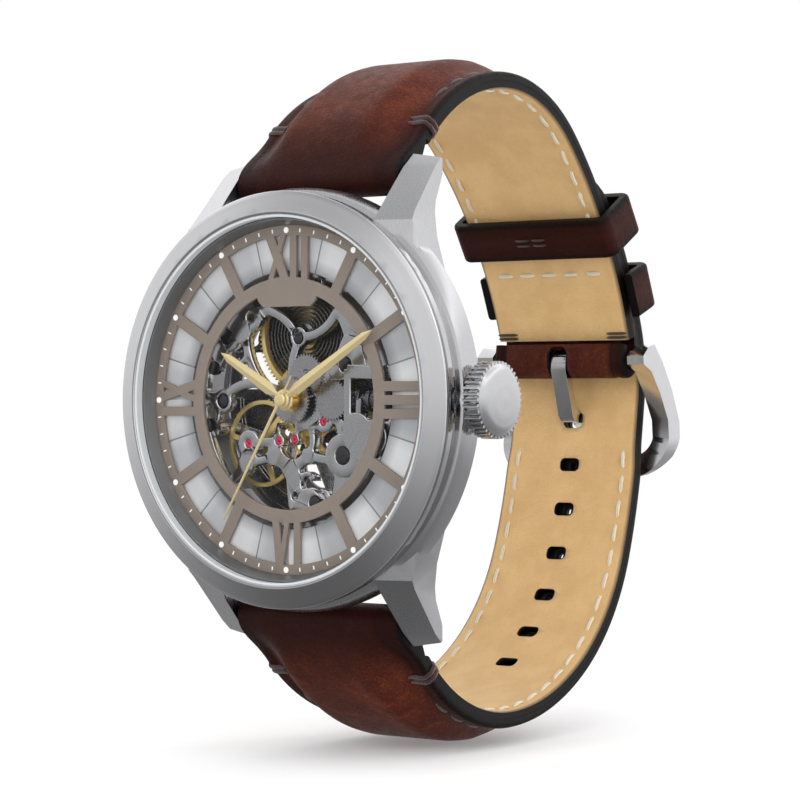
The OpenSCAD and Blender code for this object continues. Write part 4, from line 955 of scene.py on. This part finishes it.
FIRST_STITCH = 6.0
PAST_LUG = 40.0
cross = station_near_z(upper_path, 15.0, PAST_LUG)
last_stitch = cross.run - 0.6
inner_threads = Threads()
along_strap(inner_threads, upper_path, FIRST_STITCH, last_stitch, upper_half)
across_lining(inner_threads, cross, upper_half(cross) - STITCH_IN)
along_strap(inner_threads, lower_path, FIRST_STITCH, LOWER_END - 1.0, lower_half)
inner_threads.piece("lining_stitches", CREAM)

outer_threads = Threads()


def upper_surface(s):
    return outer_offset(pad_thickness(s.run, UPPER_ARCS), STITCH_IN)


def lower_surface(s):
    return outer_offset(pad_thickness(s.run, LOWER_ARCS), STITCH_IN)


along_strap(outer_threads, upper_path, FIRST_STITCH, last_stitch, upper_half, upper_surface)
along_strap(outer_threads, lower_path, FIRST_STITCH, TAIL_END - 12.0, lower_half, lower_surface)

# bar tacks at the end of the upper lining, and loops of thread round the edges by the lugs
for height_z in (7.95, 7.5):
    tack = station_near_z(upper_path, height_z, PAST_LUG)
    half = half_width(tack.y)
    for side in (-1, 1):
        spine = [(side * (half - 0.1 - 2.8 * k / 6), *tack.at(-0.1)) for k in range(7)]
        outer_threads.length(spine, 0.17, [(0.0, *tack.normal)] * len(spine))
for stations, arcs in ((upper_path, UPPER_ARCS), (lower_path, LOWER_ARCS)):
    for run in (1.3, 2.0):
        s = station_at(stations, run)
        half = half_width(s.y)
        for side in (-1, 1):
            top = pad_thickness(run, arcs)
            over = (2.4, 1.8, 1.2, 0.6, 0.25)
            spine = [(side * (half - i), *s.at(outer_offset(top, i) + 0.05)) for i in over]
            spine += [(side * (half + 0.1), *s.at(h)) for h in (1.3, 0.9, 0.4)]
            spine += [(side * (half - i), *s.at(-0.06)) for i in (0.3, 0.8, 1.2)]
            under = (0.0, -s.normal[0], -s.normal[1])
            up = [(0.0, *s.normal)] * 4 + [(side, 0.0, 0.0)] * 5 + [under] * 2
            outer_threads.length(spine, 0.32, up)

# ---------- keepers

UPPER_CENTRE = (2.1 - 8.8, -8.2)
UPPER_R = UPPER_ARCS[2][0]
KEEPER_T = 1.1
KEEPER_CORNER = 1.5
KEEPER_SOFT = 0.42


def keeper_section(wide):
    """Rounded outer corners, a flat outer face and a plain inner side, as (along, depth) points."""
    turns = [math.pi / 2 * k / 4 for k in range(5)]
    edge, soft = wide / 2, KEEPER_SOFT
    section = [(-edge + soft * (1 - math.cos(b)), -soft * (1 - math.sin(b))) for b in turns]
    section += [(-edge + soft + 2 * (edge - soft) * k / 6, 0.0) for k in range(1, 6)]
    section += [(edge - soft * (1 - math.sin(b)), -soft * (1 - math.cos(b))) for b in turns]
    return section + [(edge - 0.05, -KEEPER_T), (0.05 - edge, -KEEPER_T)]


def keeper(name, node, body, direction, half, low, high, wide, closed):
    """A leather loop round the strap; low and high are its outer face's heights over the wrist face."""
    a = math.radians(direction)
    out = Vector((0.0, math.cos(a), math.sin(a)))
    along = Vector((0.0, -math.sin(a), math.cos(a)))
    centre = Vector((0.0, UPPER_CENTRE[0], UPPER_CENTRE[1])) + out * UPPER_R
    height, middle = high - low, (low + high) / 2
    outline = rounded_outline(2 * half, height, KEEPER_CORNER, 7)
    if not closed:
        upper = [p for p in outline if p[1] > 0]
        outline = [(half, -height / 2)] + upper + [(-half, -height / 2)]
    section = keeper_section(wide)
    points, insets, faces = [], [], []
    count, ring = len(outline), len(section)
    for index, (u, v) in enumerate(outline):
        before = outline[index - 1] if closed or index else outline[0]
        after = outline[(index + 1) % count] if closed or index < count - 1 else outline[-1]
        tangent = Vector((after[0] - before[0], after[1] - before[1])).normalized()
        normal = Vector((tangent[1], -tangent[0]))
        for w, depth in section:
            x, y = u + normal[0] * depth, middle + v + normal[1] * depth
            points.append(tuple(centre + Vector((x, 0, 0)) + out * y + along * w))
            insets.append(0.6 * (wide / 2 - abs(w)) if depth > -0.6 else 0.0)
    for index in range(count if closed else count - 1):
        a0, b0 = index * ring, ((index + 1) % count) * ring
        for k in range(ring):
            k2 = (k + 1) % ring
            paint = 1 if k >= ring - 3 and k != ring - 2 else 0
            faces.append(((a0 + k, a0 + k2, b0 + k2, b0 + k), paint))
    if not closed:
        faces += [(tuple(range(ring)), 1), (tuple(range((count - 1) * ring, count * ring)), 1)]
    shades = {"inset": insets, "shade_and_darkening": [0.7] * len(points)}
    piece = make_mesh(name, points, faces, [LEATHER, EDGE], body, shades, 45)
    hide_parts(node)
    return centre, out, along


keeper("keeper_fixed_leather", "keeper_fixed", "root", 22.4, 10.95, 0.9, 5.6, 5.4, closed=False)
SLIDING_LOW = -1.6
centre, out, along = keeper(
    "keeper_sliding_leather", "keeper_sliding", "keeper_body", 31.5, 11.05, SLIDING_LOW, 5.8, 5.0, closed=True
)
keeper_threads = Threads()
for offset in (-0.35, 0.35):
    for side in (-1, 1):
        face = centre + out * (SLIDING_LOW - 0.02) + along * offset
        spine = []
        for k in range(7):
            across = Vector((side * (0.2 + 1.9 * k / 6), 0, 0))
            spine.append(tuple(face + across - out * 0.1 * math.sin(math.pi * k / 6)))
        keeper_threads.length(spine, 0.15, [tuple(out)] * len(spine))
keeper_threads.piece("keeper_stitches", BROWN_THREAD, "keeper_body")
outer_threads.piece("strap_stitches", BROWN_THREAD)

for piece, node_name, slot in (
    (upper_leather, "strap_upper", "brown_leather"),
    (strap_fold, "strap_upper", "brown_leather"),
    (lower_leather, "strap_lower", "brown_leather"),
    (upper_lining, "lining_upper", "tan_lining"),
    (lower_lining, "lining_lower", "tan_lining"),
):
    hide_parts(node_name)

# ---------- dial marks

DIAL_FRONT = node_box("dial")[0][1]
MARK_R = 17.94
DOT_R = 0.32
TICK_HALF = (0.2, 0.065)


def dial_marks():
    """Raised dots at the hours and short ticks at the minutes."""
    points, faces = [], []

    def prism(outline):
        first, count = len(points), len(outline)
        for y in (DIAL_FRONT + 0.01, DIAL_FRONT - 0.05):
            points.extend((u, y, v) for u, v in outline)
        for k in range(count):
            a, b = first + k, first + (k + 1) % count
            faces.append(((a, b, b + count, a + count), 0))
        faces.append((tuple(range(first + count, first + 2 * count)), 0))
        faces.append((tuple(range(first, first + count)), 0))

    for minute in range(60):
        a = math.radians(6 * minute)
        u, v = math.sin(a), math.cos(a)
        if minute % 5 == 0:
            turns = [math.pi * j / 8 for j in range(16)]
            prism([(MARK_R * u + DOT_R * math.cos(t), MARK_R * v + DOT_R * math.sin(t)) for t in turns])
        else:
            length, half = TICK_HALF
            corners = ((-length, half), (length, half), (length, -half), (-length, -half))
            prism([((MARK_R + r) * u + t * v, (MARK_R + r) * v - t * u) for r, t in corners])
    return make_mesh("dial_marks", points, faces, [PRINT], "root")


dial_marks()

# ---------- hands

NECK = 0.3
SHOULDER = 1.3
POINT = 1.2


def hand(name, node, body, width, waist, tail, boss, bore, rise, hub_h):
    """A gilt lance with a raised centre ridge and a turned boss, on the CAD hand's own line and length."""
    low, high = node_box(node)
    back = high[1]
    thick = high[1] - low[1]
    corners = [v.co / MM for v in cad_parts[node].data.vertices]
    tip = max(corners, key=lambda p: math.hypot(p.x, p.z))
    length = math.hypot(tip.x, tip.z)
    ahead = Vector((tip.x / length, tip.z / length))
    side = Vector((ahead[1], -ahead[0]))
    stations = [(-tail, 0.08), (-tail * 0.3, width * 0.32), (boss + NECK, waist)]
    stations += [(boss + SHOULDER, width / 2), (length - POINT, width * 0.32), (length, 0.03)]
    points, faces = [], []
    for run, half in stations:
        ridge = rise * min(1.0, half / (width / 2) + 0.35)
        brim = back - thick * 0.35
        for across, y in ((-half, back), (half, back), (half, brim), (0.0, brim - ridge), (-half, brim)):
            p = ahead * run + side * across
            points.append((p[0], y, p[1]))
    for k in range(len(stations) - 1):
        for j in range(5):
            a, b = 5 * k + j, 5 * k + (j + 1) % 5
            faces.append(((a, b, b + 5, a + 5), 0))
    faces += [(tuple(range(5)), 0), (tuple(range(len(points) - 5, len(points))), 0)]
    profile = [(bore, back), (boss, back), (boss, back - hub_h * 0.6), (boss - 0.1, back - hub_h * 0.85)]
    front = back - hub_h
    profile += [(boss - 0.25, front), (bore + 0.08, front), (bore, front + 0.06)]
    first, ring, turns = len(points), len(profile), 40
    for k in range(turns):
        a = 2 * math.pi * k / turns
        points.extend((r * math.cos(a), y, r * math.sin(a)) for r, y in profile)
    for k in range(turns):
        for j in range(ring):
            a, b = first + k * ring, first + (k + 1) % turns * ring
            faces.append(((a + j, a + (j + 1) % ring, b + (j + 1) % ring, b + j), 0))
    piece = make_mesh(name, points, faces, [PALE_GOLD], body, smooth_angle=20)
    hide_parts(node)


# width, waist, tail, boss radius, bore radius, rise of the ridge, height of the hub
hand("hour_lance", "hour_hand", "hour_body", 1.4, 0.27, 1.2, 1.15, 0.72, 0.16, 0.24)
hand("minute_lance", "minute_hand", "minute_body", 1.35, 0.26, 1.2, 0.95, 0.48, 0.16, 0.24)
hand("second_needle", "second_hand", "second_body", 0.36, 0.16, 3.0, 0.7, 0.01, 0.06, 0.3)

# ---------- floor, light and camera


def stage_floor():
    """A pale sheet under the watch that whitens away from it, into the white behind."""
    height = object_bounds()[0][2] / MM - 0.5
    reach = 3000.0
    corners = ((-reach, -reach), (reach, -reach), (reach, reach), (-reach, reach))
    points = [(x, y, height) for x, y in corners]
    g = Surface("pale_floor", Roughness=0.9, Base_Color=(0.95, 0.95, 0.95, 1), Specular_IOR_Level=0.0)
    x, y, _ = g.split_place()
    away = g.add("ShaderNodeCombineXYZ", X=x, Y=g.math("SUBTRACT", y, 20.0))
    distance = g.add("ShaderNodeVectorMath", {"operation": "LENGTH"})
    g.put(distance.inputs[0], away)
    paper = g.noise(g.place, 0.2)
    share = g.span(distance.outputs["Value"], 45.0, 190.0, 0.2, 1.0, True)
    light = g.span(paper, 0.3, 0.7, 0.995, 1.005)
    white = g.add("ShaderNodeEmission", Color=(1, 1, 1, 1), Strength=light)
    g.show(g.blend(share, g.bsdf, white))
    floor = make_mesh("floor", points, [((0, 1, 2, 3), 0)], [g.material], "root")
    floor.parent = None
    floor.visible_glossy = False


CAMERA_TURN = 36.88
CAMERA_AT = (0.1833, -0.2331, 0.0)
LENS = 123.4

camera_data = bpy.data.cameras.new("camera")
camera_data.lens = LENS
camera_data.clip_start = 0.01
camera = bpy.data.objects.new("camera", camera_data)
camera.location = CAMERA_AT
camera.rotation_euler = Euler((math.radians(90), 0, math.radians(CAMERA_TURN)))
bpy.context.scene.collection.objects.link(camera)
bpy.context.scene.camera = camera


def softbox(name, place, target, width, height, power):
    data = bpy.data.lights.new(name, "AREA")
    data.shape = "RECTANGLE"
    data.size, data.size_y, data.energy = width, height, power
    light = bpy.data.objects.new(name, data)
    light.location = place
    light.rotation_euler = (Vector(target) - Vector(place)).to_track_quat("-Z", "Y").to_euler()
    light.visible_glossy = False
    bpy.context.scene.collection.objects.link(light)


def around(turn, distance, height):
    """A place at an angle from the camera's side of the watch, anticlockwise seen from above."""
    a = math.radians(CAMERA_TURN + turn)
    return (distance * math.sin(a), -distance * math.cos(a), height)


stage_floor()
softbox("top_light", around(-20, 0.25, 0.5), (0, 0, 0), 0.5, 0.35, 0.65)
softbox("left_light", around(-75, 0.5, 0.1), (0, 0, 0), 0.35, 0.6, 0.5)
softbox("right_light", around(80, 0.5, 0.15), (0, 0, 0), 0.3, 0.6, 0.6)
softbox("front_light", around(15, 0.6, 0.1), (0, 0, 0), 0.5, 0.5, 1.2)
softbox("back_light", around(170, 0.5, 0.3), (0, 0, 0), 0.6, 0.4, 0.5)


def studio_world():
    """White to the camera. To what reflects it, a pale studio with a grey wall left of the camera."""
    world = bpy.data.worlds.new("studio")
    bpy.context.scene.world = world
    world.use_nodes = True
    g = Graph(world.node_tree)
    direction = g.add("ShaderNodeTexCoord").outputs["Generated"]
    x, y, z = g.add("ShaderNodeSeparateXYZ", Vector=direction).outputs
    level = g.math("SQRT", g.math("ADD", g.math("MULTIPLY", x, x), g.math("MULTIPLY", y, y)))
    turn = math.radians(CAMERA_TURN)
    east = g.math("MULTIPLY", x, -math.sin(turn))
    facing = g.math("ADD", east, g.math("MULTIPLY", y, -math.cos(turn)))
    wall = g.span(g.math("DIVIDE", facing, level), 0.72, 0.98, 1.0, 0.5, True)
    ramp = g.add("ShaderNodeValToRGB", Fac=g.span(z, -1.0, 1.0))
    stops = ((0.0, 0.2), (0.3, 0.38), (0.46, 0.8), (0.55, 1.0))
    stops += ((0.7, 1.05), (0.8, 1.5), (0.86, 1.0), (1.0, 0.8))
    while len(ramp.color_ramp.elements) < len(stops):
        ramp.color_ramp.elements.new(0.5)
    for element, (position, grey) in zip(ramp.color_ramp.elements, stops):
        element.position = position
        element.color = (grey, grey, grey * 1.01, 1)
    soft = g.add("ShaderNodeBackground", Color=ramp, Strength=wall)
    white = g.add("ShaderNodeBackground", Color=(1, 1, 1, 1), Strength=1.0)
    seen = g.add("ShaderNodeLightPath").outputs["Is Camera Ray"]
    g.add("ShaderNodeOutputWorld", Surface=g.blend(seen, soft, white))


studio_world()
bpy.context.scene.view_settings.view_transform = "Standard"
